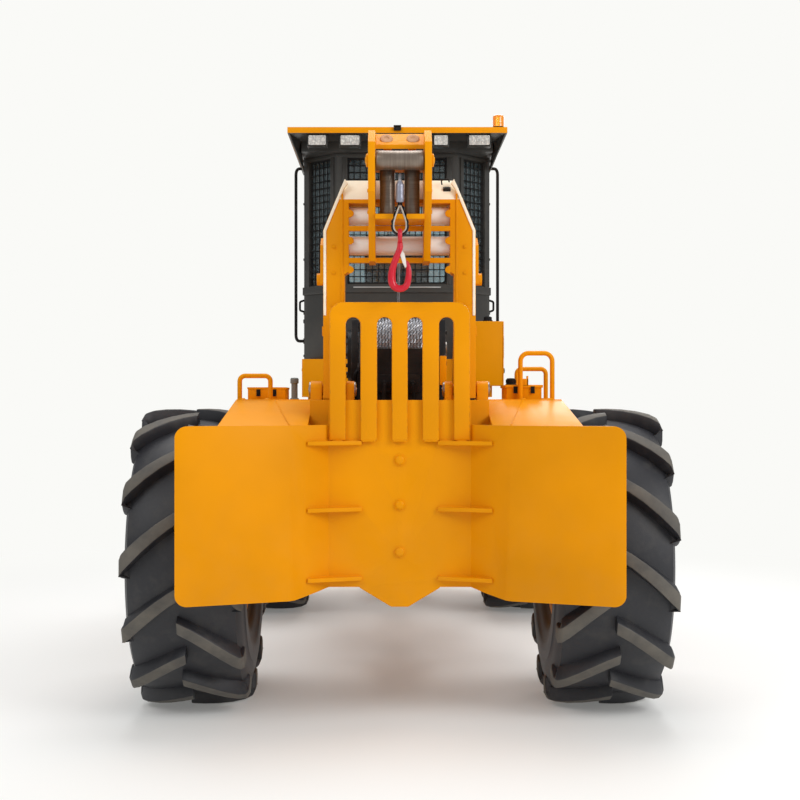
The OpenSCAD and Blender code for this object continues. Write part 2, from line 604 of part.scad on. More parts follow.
// ---- front frame ----
front_top = 1250;
front_end = front_y + 680;
cradle = 300;    // distance from the front axle to its pivot plates
pivot_r = 60;
arm_pivot = [front_y + 330, 720];
tow_r = 22;
module front_frame() color(yellow) {
    difference() {
        union() {
            both() block([front_frame_x - side_t, front_frame_x], [hinge_y + 260, front_end],
                [640, front_top]);
            block([-front_frame_x, front_frame_x], [hinge_y + 260, hinge_y + 260 + plate_t], [520, front_top]);
            block([-front_frame_x, front_frame_x], [hinge_y + 260, front_y - cradle], [640, 640 + plate_t]);
            block([-front_frame_x, front_frame_x], [hinge_y + 260, front_y - 450],
                [front_top - plate_t, front_top]);
            block([-front_frame_x, front_frame_x], [front_end - plate_t, front_end], [640, front_top]);
            for (s = [-1, 1]) block([-front_frame_x, front_frame_x],
                [front_y + s * (cradle + 25) - 25, front_y + s * (cradle + 25) + 25], [640, 1075]);
            both() xrod(70, [front_frame_x, 325], arm_pivot[0], arm_pivot[1]);
        }
        block([-400, 400], [front_y - cradle, front_y + cradle], [500, 1060]);
        yrod(pivot_r + fit, 0, [front_y - 400, front_y + 400], axle_z);
        yrod(70, 0, [hinge_y, hinge_y + 400], shaft_z);
        // room for the rod ends of the steering cylinders
        both() block([steer_b[0] - 50, front_frame_x + 1], [hinge_y + 255, hinge_y + 292],
            [steer_z - 46, steer_z + 46]);
    }
    both() xrod(40, [325, 412], arm_pivot[0], arm_pivot[1]);
    for (z = rear_ear_z) {
        hinge_ear(1, [z[0] - run_gap - hinge_ear_t, z[0] - run_gap]);
        hinge_ear(1, [z[1] + run_gap, z[1] + run_gap + hinge_ear_t]);
        zrod(hinge_pin_r, 0, hinge_y, [z[0] - run_gap - hinge_ear_t, z[1] + run_gap + hinge_ear_t]);
    }
    // ears of the steering cylinders' rod ends
    both() for (z = [[steer_z - 80, steer_z - 50], [steer_z + 50, steer_z + 80]])
        block([steer_b[0] - 60, steer_b[0] + 50], [hinge_y + steer_b[1] - 50, hinge_y + 261], z);
    // ears of the blade cylinders
    both() for (x = [[150, 175], [245, 270]])
        block(x, [front_end + 20, lift_a[0] + 45], [lift_a[1] - 60, lift_a[1] + 40]);
    both() xrod(lift_pin_r, [151, 269], lift_a[0], lift_a[1]);
    both() block([140, 280], [front_end, front_end + 20], [front_top - 100, lift_a[1] + 60]);
}

// ---- tow hitch at the front ----
module tow_hitch() color(yellow) difference() {
    union() {
        for (z = [[690, 715], [765, 790]]) block([-60, 60], [front_end + 11, front_end + 85], z);
        block([-80, 80], [front_end, front_end + 12], [675, 805]);
    }
    zrod(tow_r, 0, front_end + 45, [680, 800]);
}

// ---- front axle, swinging about the long axis ----
module front_axle() color(dark) {
    axle(front_y, front_wheel_x, 0);
    yrod(pivot_r, 0, [front_y - cradle - 50, front_y + cradle + 50], axle_z);
    yrod(120, 0, [front_y - cradle + 8, front_y + cradle - 8], axle_z);
}

// ---- engine with gearbox and front shaft ----
module engine() color(dark) {
    block([-240, 240], [front_y - 350, front_y + 560], [1075, 1700]);
    block([-180, 180], [hinge_y + 420, front_y - 350], [800, 1180]);
    yrod(38, 0, [hinge_y + 40, hinge_y + 420], shaft_z);
}

// ---- cab base with steps ----
cab_y = hinge_y - 125;
cab_front = cab_y + cab_l;
base_front = front_y - 860;
step_z = [900, 1180, 1460];
module cab_base() color(yellow) {
    block([-cab_x, cab_x], [cab_y, base_front], [1677, cab_floor - 30]);
    block([-front_frame_x, front_frame_x], [hinge_y + 290, cab_front], [front_top, 1677]);
    block([-430, 430], [base_front, cab_front], [1790, cab_floor - 30]);
    block([-cab_x, cab_x], [cab_y, cab_front], [cab_floor - 30, cab_floor]);
    block([-front_frame_x, front_frame_x], [base_front, cab_front], [1677, 1790]);
    both() {
        block([front_frame_x, 620], [hinge_y + 330, base_front], [1300, 1677]);
        for (z = step_z) block([front_frame_x, 640], [hinge_y + 420, hinge_y + 660], [z, z + 25]);
        for (y = [hinge_y + 408, hinge_y + 660]) block([front_frame_x, 640], [y, y + 12], [880, 1301]);
    }
}

// ---- cab shell ----
corner_x = 400;
corner_y = cab_y + 230;
door_y = [cab_y + 290, cab_front - 90];
door_z = [cab_floor + 30, cab_top - 90];
module cab_plan(inset) {
    x = cab_x - inset;
    polygon([[-corner_x + inset * 0.41, cab_y + inset], [corner_x - inset * 0.41, cab_y + inset],
        [x, corner_y + inset * 0.35], [x, cab_front - inset], [-x, cab_front - inset],
        [-x, corner_y + inset * 0.35]]);
}
window_z = [2430, cab_top - 30];
hinge_x = cab_x + 22;
knuckle_z = [2120, 2950];
module cab_shell() color(dark) {
    difference() {
        union() {
            translate([0, 0, cab_floor]) linear_extrude(cab_top - cab_floor) difference() {
                cab_plan(0);
                cab_plan(wall_t);
            }
            // headliner under the roof
            block([-cab_x, cab_x], [cab_y - 60, cab_front], [cab_top, cab_top + 66]);
        }
        block([-330, 330], [cab_y - 10, cab_y + 100], window_z);
        both() {
            // window in the slanting corner
            translate([(corner_x + cab_x) / 2, (cab_y + corner_y) / 2, 0]) rotate([0, 0, 45])
                block([-105, 105], [-100, 100], window_z);
            block([cab_x - 100, cab_x + 10], door_y, door_z);
        }
        block([-470, 470], [cab_front - 100, cab_front + 10], [2150, 3230]);
    }
    // pins and brackets of the door hinges
    both() for (z = knuckle_z) {
        zrod(9, hinge_x, door_y[1] + 5, [z - 62, z + 62]);
        for (k = [z - 62, z + 38]) {
            block([cab_x, hinge_x], [door_y[1] + 5, door_y[1] + 30], [k, k + 24]);
            zrod(18, hinge_x, door_y[1] + 5, [k, k + 24]);
        }
    }
}
module cab_roof() color(yellow) {
    block([-roof_x, roof_x], [cab_y - 350, cab_front + 90], [cab_top + 66, cab_top + roof_h]);
    // slanting corner panels from the roof's edge down to the corner posts
    for (s = [-1, 1]) hull() for (p = [[roof_x - 8, cab_y - 342, cab_top + 66], [roof_x - 8, cab_y + 190, cab_top + 66],
        [cab_x + 5, cab_y + 210, cab_top - 78], [cab_x + 5, cab_y - 55, cab_top + 66]])
            translate([s * p[0] - 4, p[1], p[2]]) cube([8, 8, 1]);
}
module cab_glass() color(glass) {
    block([-330 + seat_gap, 330 - seat_gap], [cab_y + 20, cab_y + 26],
        [window_z[0] + seat_gap, window_z[1] - seat_gap]);
    block([-470 + seat_gap, 470 - seat_gap], [cab_front - 32, cab_front - 26], [2150 + seat_gap, 3230 - seat_gap]);
    both() translate([(corner_x + cab_x) / 2, (cab_y + corner_y) / 2, 0]) rotate([0, 0, 45])
        block([-105 + seat_gap, 105 - seat_gap], [18, 24], [window_z[0] + seat_gap, window_z[1] - seat_gap]);
}
// wire guards that fill the back windows: upright wires with cross wires in front of them
wire = 6;
module guard_panel(width) {
    side = width / 2 - seat_gap;
    z = [window_z[0] + seat_gap, window_z[1] - seat_gap];
    ups = round(width / 42);
    rows = round((z[1] - z[0]) / 46);
    for (i = [0:ups]) translate([-side + i * (2 * side - wire) / ups, 8, z[0]]) cube([wire, wire, z[1] - z[0]]);
    for (i = [0:rows]) translate([-side, 3, z[0] + i * (z[1] - z[0] - wire) / rows]) cube([2 * side, wire, wire]);
}
module window_guards() color(dark) {
    translate([0, cab_y, 0]) guard_panel(660);
    both() translate([(corner_x + cab_x) / 2, (cab_y + corner_y) / 2, 0]) rotate([0, 0, 45]) guard_panel(210);
}
// a door leaf with its window and its hinge knuckles, drawn on the right side
door_gap = 6;
module door() {
    y = [door_y[0] + door_gap, door_y[1] - door_gap];
    z = [door_z[0] + door_gap, door_z[1] - door_gap];
    difference() {
        union() {
            block([cab_x - wall_t, cab_x], y, z);
            for (k = knuckle_z) {
                zrod(18, hinge_x, door_y[1] + 5, [k - 36, k + 36]);
                block([cab_x - 1, hinge_x - 6], [y[1] - 60, y[1]], [k - 36, k + 36]);
                block([cab_x + 2, hinge_x - 6], [y[1] - 1, door_y[1] + 5], [k - 36, k + 36]);
            }
        }
        block([cab_x - wall_t - 1, cab_x + 1], [y[0] + 70, y[1] - 70], [2250, z[1] - 80]);
        for (k = knuckle_z) zrod(9 + fit, hinge_x, door_y[1] + 5, [k - 40, k + 40]);
    }
}
module door_pane() {
    block([cab_x - 33, cab_x - 27], [door_y[0] + door_gap + 70 + 0.5, door_y[1] - door_gap - 70 - 0.5],
        [2250.5, door_z[1] - door_gap - 80.5]);
}
module door_right() color(dark) door();
module door_left() color(dark) mirror([1, 0, 0]) door();
module door_glass_right() color(glass) door_pane();
module door_glass_left() color(glass) mirror([1, 0, 0]) door_pane();

// ---- inside the cab ----
seat_z = cab_floor + 410;
module seat() color([0.1, 0.1, 0.11]) {
    block([-150, 150], [cab_y + 300, cab_y + 560], [cab_floor, seat_z - 130]);
    block([-250, 250], [cab_y + 230, cab_y + 690], [seat_z - 130, seat_z]);
    block([-250, 250], [cab_y + 150, cab_y + 270], [seat_z, seat_z + 640]);
}
module steering_console() color(dark) {
    block([-200, 200], [cab_front - 300, cab_front - wall_t - 5], [cab_floor, seat_z + 40]);
    // steering wheel and column
    translate([0, cab_front - 330, seat_z + 220]) rotate([35, 0, 0]) {
        cylinder(r = 180, h = 28);
        translate([0, 0, -250]) cylinder(r = 25, h = 252);
    }
}
module cab_rails() color([0.05, 0.05, 0.05]) {
    both() {
        y = corner_y + 20;
        x = cab_x + 55;
        zrod(13, x, y, [2060, 3240]);
        for (z = [2060, 3240]) {
            xrod(13, [cab_x, x], y, z);
            translate([x, y, z]) sphere(r = 13);
        }
    }
}
// table of the lamps: x of the middle, width
lamps = [[-515, 130], [-304, 140], [280, 105], [527, 150]];
module work_lamps() color([0.85, 0.85, 0.85])
    for (l = lamps) block([l[0] - l[1] / 2, l[0] + l[1] / 2], [cab_y - 320, cab_y - 250], [3285, cab_top + 66]);
module beacon() color([1, 0.55, 0]) {
    zrod(42, 655, cab_y - 250, [cab_top + roof_h, cab_top + roof_h + 20]);
    zrod(36, 655, cab_y - 250, [cab_top + roof_h + 20, cab_top + roof_h + 95]);
}

// ---- hood, grille and stack ----
hood_x = 430;
hood_y = [cab_front + 25, front_y + 640];
hood_z = [1760, 2060];
hood_hinge = [hood_y[1] + 22, hood_z[0] + 30];
hood_lug_x = 300;
module hood() color(yellow) {
    hood_shell();
    both() difference() {
        union() {
            xrod(18, [hood_lug_x - 30, hood_lug_x + 30], hood_hinge[0], hood_hinge[1]);
            block([hood_lug_x - 30, hood_lug_x + 30], [hood_y[1] - 1, hood_hinge[0]],
                [hood_hinge[1] - 12, hood_hinge[1] + 17]);
        }
        xrod(9 + fit, [hood_lug_x - 31, hood_lug_x + 31], hood_hinge[0], hood_hinge[1]);
    }
}
module hood_shell() difference() {
    side_plate([-hood_x, hood_x], [[hood_y[0], hood_z[0]], [hood_y[0], hood_z[1]], [hood_y[0] + 500, hood_z[1] - 10],
        [hood_y[1], hood_z[1] - 130], [hood_y[1], hood_z[0]]]);
    side_plate([-hood_x + 12, hood_x - 12], [[hood_y[0] + 12, hood_z[0] - 1], [hood_y[0] + 12, hood_z[1] - 14],
        [hood_y[0] + 500, hood_z[1] - 24], [hood_y[1] - 12, hood_z[1] - 140], [hood_y[1] - 12, hood_z[0] - 1]]);
}
module front_grille() color(dark) {
    difference() {
        block([-hood_x, hood_x], [front_y + 560, front_end], [front_top, hood_z[0] - 5]);
        for (i = [0:5]) block([-350, 350], [front_end - 40, front_end + 1], [1400 + i * 55, 1430 + i * 55]);
    }
    // hinge pins of the hood
    both() {
        xrod(9, [hood_lug_x - 58, hood_lug_x + 58], hood_hinge[0], hood_hinge[1]);
        for (x = [hood_lug_x - 56, hood_lug_x + 32]) {
            block([x, x + 24], [hood_y[1] + 5, front_end], [hood_z[0] - 6, hood_hinge[1]]);
            xrod(17, [x, x + 24], hood_hinge[0], hood_hinge[1]);
        }
    }
    // engine side panels
    both() block([hood_x - 20, hood_x], [cab_front + 25, front_y + 560], [1400, hood_z[0] - 5]);
    both() block([front_frame_x, hood_x], [cab_front + 25, front_y + 560], [1380, 1400]);
}
module exhaust_stack() color(steel) {
    zrod(55, 540, cab_front + 90, [2250, 2750]);
    zrod(35, 540, cab_front + 90, [1855, 2950]);
    yrod(35, 540, [cab_front - 50, cab_front + 90], 1855);
    xrod(35, [430, 540], cab_front - 50, 1855);
    for (z = [2300, 2680]) block([515, 565], [cab_front, cab_front + 60], [z, z + 30]);
}
module hydraulic_tank() color(yellow) {
    block([455, 700], [cab_y - 130, cab_y], [1750, 2175]);
}

// ---- dozer blade ----
blade_y = front_y + front_overhang;
lift_a = [front_y + 740, 1400];
lift_b = [front_y + 900, 560];
lift_pin_r = 18;
module dozer_blade() color(yellow) {
    z = [blade_low, blade_low + blade_h];
    // curved moldboard
    intersection() {
        difference() {
            xrod(900, [-blade_x, blade_x], blade_y + 780, z[0] + 400);
            xrod(865, [-blade_x - 1, blade_x + 1], blade_y + 780, z[0] + 400);
        }
        block([-blade_x, blade_x], [blade_y - 330, blade_y], z);
    }
    // cutting edge, top lip and ribs
    block([-blade_x, blade_x], [blade_y - 40, blade_y], [z[0], z[0] + 30]);
    both() difference() {
        for (x = [365, 800]) block([x - 20, x + 20], [blade_y - 300, blade_y - 60], [z[0] + 40, z[1] - 60]);
        xrod(866, [-1300, 1300], blade_y + 780, z[0] + 400);
    }
    // ears that hold the rods of the lift cylinders
    both() difference() {
        for (x = [[165, 182], [238, 255]])
            block(x, [lift_b[0] - 60, blade_y - 60], [lift_b[1] - 60, lift_b[1] + 60]);
        xrod(866, [-1300, 1300], blade_y + 780, z[0] + 400);
    }
    both() difference() {
        union() {
            xrod(75, [335, 395], arm_pivot[0], arm_pivot[1]);
            side_plate([335, 395], [[arm_pivot[0], 650], [blade_y - 300, 480], [blade_y - 300, 700],
                [arm_pivot[0], 790]]);
            // the arms are let into the ribs that they meet
            block([350, 380], [blade_y - 320, blade_y - 280], [490, 690]);
        }
        xrod(40 + fit, [300, 420], arm_pivot[0], arm_pivot[1]);
    }
}
lift_rod_r = 22;
lift_l = norm(lift_b - lift_a);
lift_dir = atan2(lift_b[1] - lift_a[1], lift_b[0] - lift_a[0]);
module lift_place() translate([210, lift_a[0], lift_a[1]]) rotate([lift_dir - 90, 0, 0]) children();
module blade_barrels() color(dark) both() lift_place() difference() {
    union() {
        zrod(45, 0, 0, [78, 470]);
        xrod(38, [-27, 27], 0, 0);
        block([-25, 25], [-25, 25], [0, 80]);
    }
    zrod(lift_rod_r + fit, 0, 0, [88, 500]);
    xrod(lift_pin_r + fit, [-28, 28], 0, 0);
}
module blade_rods() color([0.8, 0.8, 0.82]) both() lift_place() {
    zrod(lift_rod_r, 0, 0, [365, lift_l - 12]);
    block([-20, 20], [-30, 30], [lift_l - 30, lift_l + 30]);
}

rear_frame();
butt_plate();
log_guard();
rear_fenders();
deck_rails();
arch();
arch_spacers();
fairlead_head();
roller_top();
roller_left();
roller_right();
winch_housing();
winch_drum();
winch_cable();
hook();
rear_axle();
driveshaft();
tyre_rear_left();
rim_rear_left();
tyre_rear_right();
rim_rear_right();
steer_barrel_left();
steer_rod_left();
steer_barrel_right();
steer_rod_right();
front_frame();
tow_hitch();
cab_base();
cab_shell();
cab_roof();
cab_glass();
window_guards();
door_left();
door_glass_left();
door_right();
door_glass_right();
seat();
steering_console();
cab_rails();
work_lamps();
beacon();
hood();
front_grille();
engine();
exhaust_stack();
hydraulic_tank();
front_axle();
tyre_front_left();
rim_front_left();
tyre_front_right();
rim_front_right();
dozer_blade();
blade_barrels();
blade_rods();
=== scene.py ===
import json
import math

import bmesh
import bpy
from mathutils import Matrix, Vector

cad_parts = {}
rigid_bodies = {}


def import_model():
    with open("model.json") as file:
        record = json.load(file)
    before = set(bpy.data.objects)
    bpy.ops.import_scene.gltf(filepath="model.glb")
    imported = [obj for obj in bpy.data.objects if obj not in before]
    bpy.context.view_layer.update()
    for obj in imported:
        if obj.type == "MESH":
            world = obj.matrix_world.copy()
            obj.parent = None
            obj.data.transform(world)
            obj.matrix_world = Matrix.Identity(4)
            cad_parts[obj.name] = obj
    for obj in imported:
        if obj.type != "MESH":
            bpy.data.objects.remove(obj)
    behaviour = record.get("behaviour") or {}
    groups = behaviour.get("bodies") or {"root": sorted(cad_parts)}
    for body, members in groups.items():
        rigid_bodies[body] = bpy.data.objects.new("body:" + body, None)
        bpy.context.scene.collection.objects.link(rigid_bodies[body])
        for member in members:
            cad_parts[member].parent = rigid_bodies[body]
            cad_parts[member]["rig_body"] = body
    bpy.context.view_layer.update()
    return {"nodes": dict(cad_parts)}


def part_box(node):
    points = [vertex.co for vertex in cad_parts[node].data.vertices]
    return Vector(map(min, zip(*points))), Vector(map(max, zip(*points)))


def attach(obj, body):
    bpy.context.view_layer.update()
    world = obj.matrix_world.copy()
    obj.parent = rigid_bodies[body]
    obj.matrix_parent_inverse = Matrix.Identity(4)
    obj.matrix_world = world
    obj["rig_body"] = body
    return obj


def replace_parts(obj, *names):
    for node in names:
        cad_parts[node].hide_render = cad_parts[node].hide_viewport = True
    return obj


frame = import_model()
nodes = frame["nodes"]
scene = bpy.context.scene
scene.view_settings.view_transform = "Standard"

# ---- studio ----
# A level camera stands well behind the machine, on a pale floor that fades
# into the backdrop. Large soft lamps stand above and beside it.
eye = Vector((-0.06, -9.225, 1.657))
camera_data = bpy.data.cameras.new("camera")
camera_data.sensor_width = 36
camera_data.lens = 60.3
camera_data.shift_x = 0.015
camera = bpy.data.objects.new("camera", camera_data)
camera.location = eye
camera.rotation_euler = (math.radians(90), 0, 0)
scene.collection.objects.link(camera)
scene.camera = camera


def feed(node, inputs):
    """Links or sets inputs of a node: one given as a socket is linked, any other is set."""
    for name, value in inputs.items():
        if isinstance(value, bpy.types.NodeSocket):
            node.id_data.links.new(value, node.inputs[name])
        else:
            node.inputs[name].default_value = value


def put(tree, kind, inputs=None, **settings):
    """A new node; kind is its full name, or a shader node's name without ShaderNode."""
    node = tree.nodes.new(kind if "Node" in kind else "ShaderNode" + kind)
    for name, value in settings.items():
        setattr(node, name, value)
    feed(node, inputs or {})
    return node


def soft_lamp(name, place, target, width, power):
    """A round lamp that shines from its place at its target."""
    data = bpy.data.lights.new(name, "AREA")
    data.shape = "DISK"
    data.size = width
    data.energy = power
    lamp = bpy.data.objects.new(name, data)
    lamp.location = place
    lamp.rotation_euler = (Vector(target) - Vector(place)).to_track_quat("-Z", "Y").to_euler()
    scene.collection.objects.link(lamp)


soft_lamp("key lamp", (-5.5, -8.5, 7.5), (0, -1.5, 1.2), 5.0, 235)
soft_lamp("fill lamp", (6.5, -7.5, 5.5), (0, -1.5, 1.2), 5.0, 410)
soft_lamp("top lamp", (0, 1.0, 9.0), (0, 0, 0), 7.0, 520)
soft_lamp("front lamp", (3.0, 9.5, 6.0), (0, 1.5, 1.2), 5.0, 330)

backdrop = (0.956, 0.956, 0.93, 1)
world = bpy.data.worlds.new("studio")
scene.world = world
world.use_nodes = True
sky = world.node_tree
sky.nodes.clear()
seen = put(sky, "LightPath")
plain = put(sky, "Background", {"Color": backdrop})
glow = put(sky, "Background", {"Color": (1, 1, 1, 1), "Strength": 0.42})
either = put(sky, "Math", {0: seen.outputs["Is Camera Ray"], 1: seen.outputs["Is Transmission Ray"]},
             operation="MAXIMUM")
sky_mix = put(sky, "MixShader", {0: either.outputs[0], 1: glow.outputs[0], 2: plain.outputs[0]})
put(sky, "OutputWorld", {"Surface": sky_mix.outputs[0]})

floor_mesh = bpy.data.meshes.new("floor")
floor_mesh.from_pydata([(-60, -60, 0), (60, -60, 0), (60, 60, 0), (-60, 60, 0)], [], [(0, 1, 2, 3)])
floor = bpy.data.objects.new("floor", floor_mesh)
scene.collection.objects.link(floor)
floor_paint = bpy.data.materials.new("studio floor")
floor_paint.use_nodes = True
tree = floor_paint.node_tree
tree.nodes.clear()
lit = put(tree, "BsdfDiffuse", {"Color": (0.9, 0.9, 0.885, 1)})
far = put(tree, "Emission", {"Color": backdrop})
reach = put(tree, "VectorMath", {0: put(tree, "TexCoord").outputs["Object"]}, operation="LENGTH")
fade = put(tree, "MapRange",
           {"Value": reach.outputs["Value"], "From Min": 2.2, "From Max": 6.5, "To Min": 0.16},
           interpolation_type="SMOOTHERSTEP")
floor_mix = put(tree, "MixShader", {0: fade.outputs["Result"], 1: lit.outputs[0], 2: far.outputs[0]})
put(tree, "OutputMaterial", {"Surface": floor_mix.outputs[0]})
floor_mesh.materials.append(floor_paint)

# ---- rear frame ----
# The rear half of the machine hangs on two thick side plates, boxed in with
# cross plates. It is welded from cut steel plate, primed and sprayed yellow.


def effect(name, inputs, outputs):
    """An empty shader group with its named sockets, and its two end nodes."""
    group = bpy.data.node_groups.new(name, "ShaderNodeTree")
    for way, sockets in (("INPUT", inputs), ("OUTPUT", outputs)):
        for socket, kind, *value in sockets:
            made = group.interface.new_socket(socket, in_out=way, socket_type="NodeSocket" + kind)
            if value:
                made.default_value = value[0]
    return group, group.nodes.new("NodeGroupInput"), group.nodes.new("NodeGroupOutput")


# sockets of the node that mixes two colours: its inputs and its output
mix_a, mix_b, mix_out = 6, 7, 2

# Sprayed paint as it ages: uneven tone, orange peel, chips along the edges of
# the plates, and dust that gathers low down and on what faces up.
paint_ageing, given, result = effect(
    "paint ageing", [("Paint", "Color"), ("Chipped", "Color"), ("Dust", "Color", (0.36, 0.29, 0.2, 1)),
                     ("Gloss loss", "Float", 0.36), ("Chips", "Float", 0.5), ("Dustiness", "Float", 0.3)],
    [("Color", "Color"), ("Roughness", "Float"), ("Normal", "Vector")])
spot = put(paint_ageing, "TexCoord").outputs["Object"]
tone = put(paint_ageing, "TexNoise", {"Vector": spot, "Scale": 1.7, "Detail": 3.0})
shade = put(paint_ageing, "MapRange", {"Value": tone.outputs["Fac"], "From Min": 0.3, "From Max": 0.7,
                                       "To Min": 0.9, "To Max": 1.06})
toned = put(paint_ageing, "VectorMath", {0: given.outputs["Paint"], "Scale": shade.outputs[0]},
            operation="SCALE")
grime = put(paint_ageing, "TexNoise", {"Vector": spot, "Scale": 6.5, "Detail": 6.0, "Roughness": 0.65})
height = put(paint_ageing, "SeparateXYZ", {"Vector": spot}).outputs["Z"]
low = put(paint_ageing, "MapRange",
          {"Value": height, "From Min": 1.25, "From Max": 0.25, "To Min": 0.12, "To Max": 1.0})
facing = put(paint_ageing, "SeparateXYZ",
             {"Vector": put(paint_ageing, "NewGeometry").outputs["Normal"]}).outputs["Z"]
upward = put(paint_ageing, "MapRange",
             {"Value": facing, "From Min": 0.55, "From Max": 1.0, "To Min": 0.0, "To Max": 0.45})
settled = put(paint_ageing, "Math", {0: low.outputs[0], 1: upward.outputs[0]}, operation="ADD")
patches = put(paint_ageing, "MapRange", {"Value": grime.outputs["Fac"], "From Min": 0.4, "From Max": 0.72})
dusty = put(paint_ageing, "Math", {0: settled.outputs[0], 1: patches.outputs[0]}, operation="MULTIPLY")
dusted = put(paint_ageing, "Math", {0: dusty.outputs[0], 1: given.outputs["Dustiness"]}, operation="MULTIPLY")
dull = put(paint_ageing, "Mix",
           {"Factor": dusted.outputs[0], mix_a: toned.outputs[0], mix_b: given.outputs["Dust"]},
           data_type="RGBA")
knocks = put(paint_ageing, "TexNoise", {"Vector": spot, "Scale": 34.0, "Detail": 7.0, "Roughness": 0.7})
rare = put(paint_ageing, "MapRange", {"Value": knocks.outputs["Fac"], "From Min": 0.71, "From Max": 0.74})
worn = put(paint_ageing, "MapRange", {"Value": knocks.outputs["Fac"], "From Min": 0.5, "From Max": 0.6})
edge = put(paint_ageing, "Attribute", attribute_name="edge").outputs["Fac"]
on_edge = put(paint_ageing, "Math", {0: edge, 1: worn.outputs[0]}, operation="MULTIPLY")
chip = put(paint_ageing, "Math", {0: on_edge.outputs[0], 1: rare.outputs[0]}, operation="MAXIMUM")
chipped = put(paint_ageing, "Math", {0: chip.outputs[0], 1: given.outputs["Chips"]}, operation="MULTIPLY")
coloured = put(paint_ageing, "Mix",
               {"Factor": chipped.outputs[0], mix_a: dull.outputs[mix_out], mix_b: given.outputs["Chipped"]},
               data_type="RGBA")
matt = put(paint_ageing, "Math", {0: dusted.outputs[0], 1: 0.4, 2: given.outputs["Gloss loss"]},
           operation="MULTIPLY_ADD")
streak = put(paint_ageing, "Math", {0: grime.outputs["Fac"], 1: 0.16, 2: matt.outputs[0]},
             operation="MULTIPLY_ADD")
peel = put(paint_ageing, "TexNoise", {"Vector": spot, "Scale": 160.0, "Detail": 2.0})
sink = put(paint_ageing, "Math", {0: chip.outputs[0], 1: -0.6, 2: peel.outputs["Fac"]},
           operation="MULTIPLY_ADD")
relief = put(paint_ageing, "Bump", {"Height": sink.outputs[0], "Strength": 0.12, "Distance": 0.002})
feed(result,
     {"Color": coloured.outputs[mix_out], "Roughness": streak.outputs[0], "Normal": relief.outputs[0]})


def painted(name, colour, chipped, roughness=0.36, chips=0.5, dust=0.3, coat=0.06, metal=0.0):
    """A sprayed finish that ages by the group above."""
    finish = bpy.data.materials.new(name)
    finish.use_nodes = True
    tree = finish.node_tree
    age = put(tree, "Group", {"Paint": (*colour, 1), "Chipped": (*chipped, 1), "Gloss loss": roughness,
                              "Chips": chips, "Dustiness": dust}, node_tree=paint_ageing)
    feed(tree.nodes["Principled BSDF"],
         {"Base Color": age.outputs["Color"], "Roughness": age.outputs["Roughness"],
          "Normal": age.outputs["Normal"],
          "Metallic": metal, "Specular IOR Level": 0.09, "Coat Weight": coat, "Coat Roughness": 0.18})
    return finish


yellow = painted("yellow paint", (0.8, 0.3, 0.0), (0.3, 0.13, 0.03), chips=0.3, dust=0.07, coat=0.02)


def settle(bm, name, body, finish, width=0.0, closed=True, angle=32):
    """Makes a bmesh a piece: outward faces, broken edges, smooth round parts, a finish and a body."""
    if closed:
        bmesh.ops.recalc_face_normals(bm, faces=bm.faces)
    mark = bm.faces.layers.float.new("edge")
    if width:
        sharp = [e for e in bm.edges if len(e.link_faces) == 2 and e.calc_face_angle(0) > math.radians(angle)]
        made = bmesh.ops.bevel(bm, geom=sharp, offset=width, segments=2, profile=0.6, affect="EDGES",
                               clamp_overlap=True)
        for face in made["faces"]:
            face[mark] = 1.0
    mesh = bpy.data.meshes.new(name)
    bm.to_mesh(mesh)
    bm.free()
    mesh.shade_smooth()
    mesh.set_sharp_from_angle(angle=math.radians(angle))
    mesh.materials.append(finish)
    piece = bpy.data.objects.new(name, mesh)
    scene.collection.objects.link(piece)
    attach(piece, body)
    return piece


def cad_copy(node):
    """The node's own solid as a clean bmesh, its flat faces whole again."""
    bm = bmesh.new()
    bm.from_mesh(nodes[node].data)
    bmesh.ops.remove_doubles(bm, verts=bm.verts, dist=0.00002)
    bmesh.ops.dissolve_limit(bm, angle_limit=math.radians(0.6), verts=bm.verts, edges=bm.edges)
    return bm


def dressed(node, finish, width=0.004):
    """The node with its sharp edges broken, which stands for it."""
    piece = settle(cad_copy(node), node.replace("_", "-") + "-finished", nodes[node]["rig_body"],
                   finish, width, closed=False)
    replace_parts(piece, node)
    return piece


dressed("rear_frame", yellow)

# ---- wheels ----
# Each wheel is a forestry tyre on a one-piece steel rim. The rubber is moulded
# with two staggered rows of deep bars that meet near the middle as a chevron.
tyre_low, tyre_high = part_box("tyre_rear_left")
tyre_r = (tyre_high.z - tyre_low.z) / 2
tyre_half = (tyre_high.x - tyre_low.x) / 2
bead_r = 0.333
carcass_r = tyre_r - 0.058
bars_a_side = 13
first_bar = 0.75   # how far round its pitch the first bar stands
side_gap = 0.0003  # the bars stop this far short of the tyre's sides


def on_wheel(centre, across, radius, turn):
    """A point of a wheel: distance across from its middle, radius and angle round the axle."""
    return Vector((centre.x + across, centre.y + radius * math.cos(turn), centre.z + radius * math.sin(turn)))


def skin(bm, rings):
    """Faces between each ring of points and the next."""
    for here, there in zip(rings, rings[1:]):
        for k in range(len(here)):
            j = (k + 1) % len(here)
            bm.faces.new((here[k], here[j], there[j], there[k]))


def absorb(bm, part):
    """Adds one bmesh to another and frees it."""
    loose = bpy.data.meshes.new("loose")
    part.to_mesh(loose)
    part.free()
    bm.from_mesh(loose)
    bpy.data.meshes.remove(loose)


def lathe(bm, centre, profile, steps):
    """A closed ring turned round an axle from [across, radius] points."""
    rings = []
    for i in range(steps):
        turn = 2 * math.pi * i / steps
        rings.append([bm.verts.new(on_wheel(centre, a, r, turn)) for a, r in profile])
    skin(bm, rings + rings[:1])


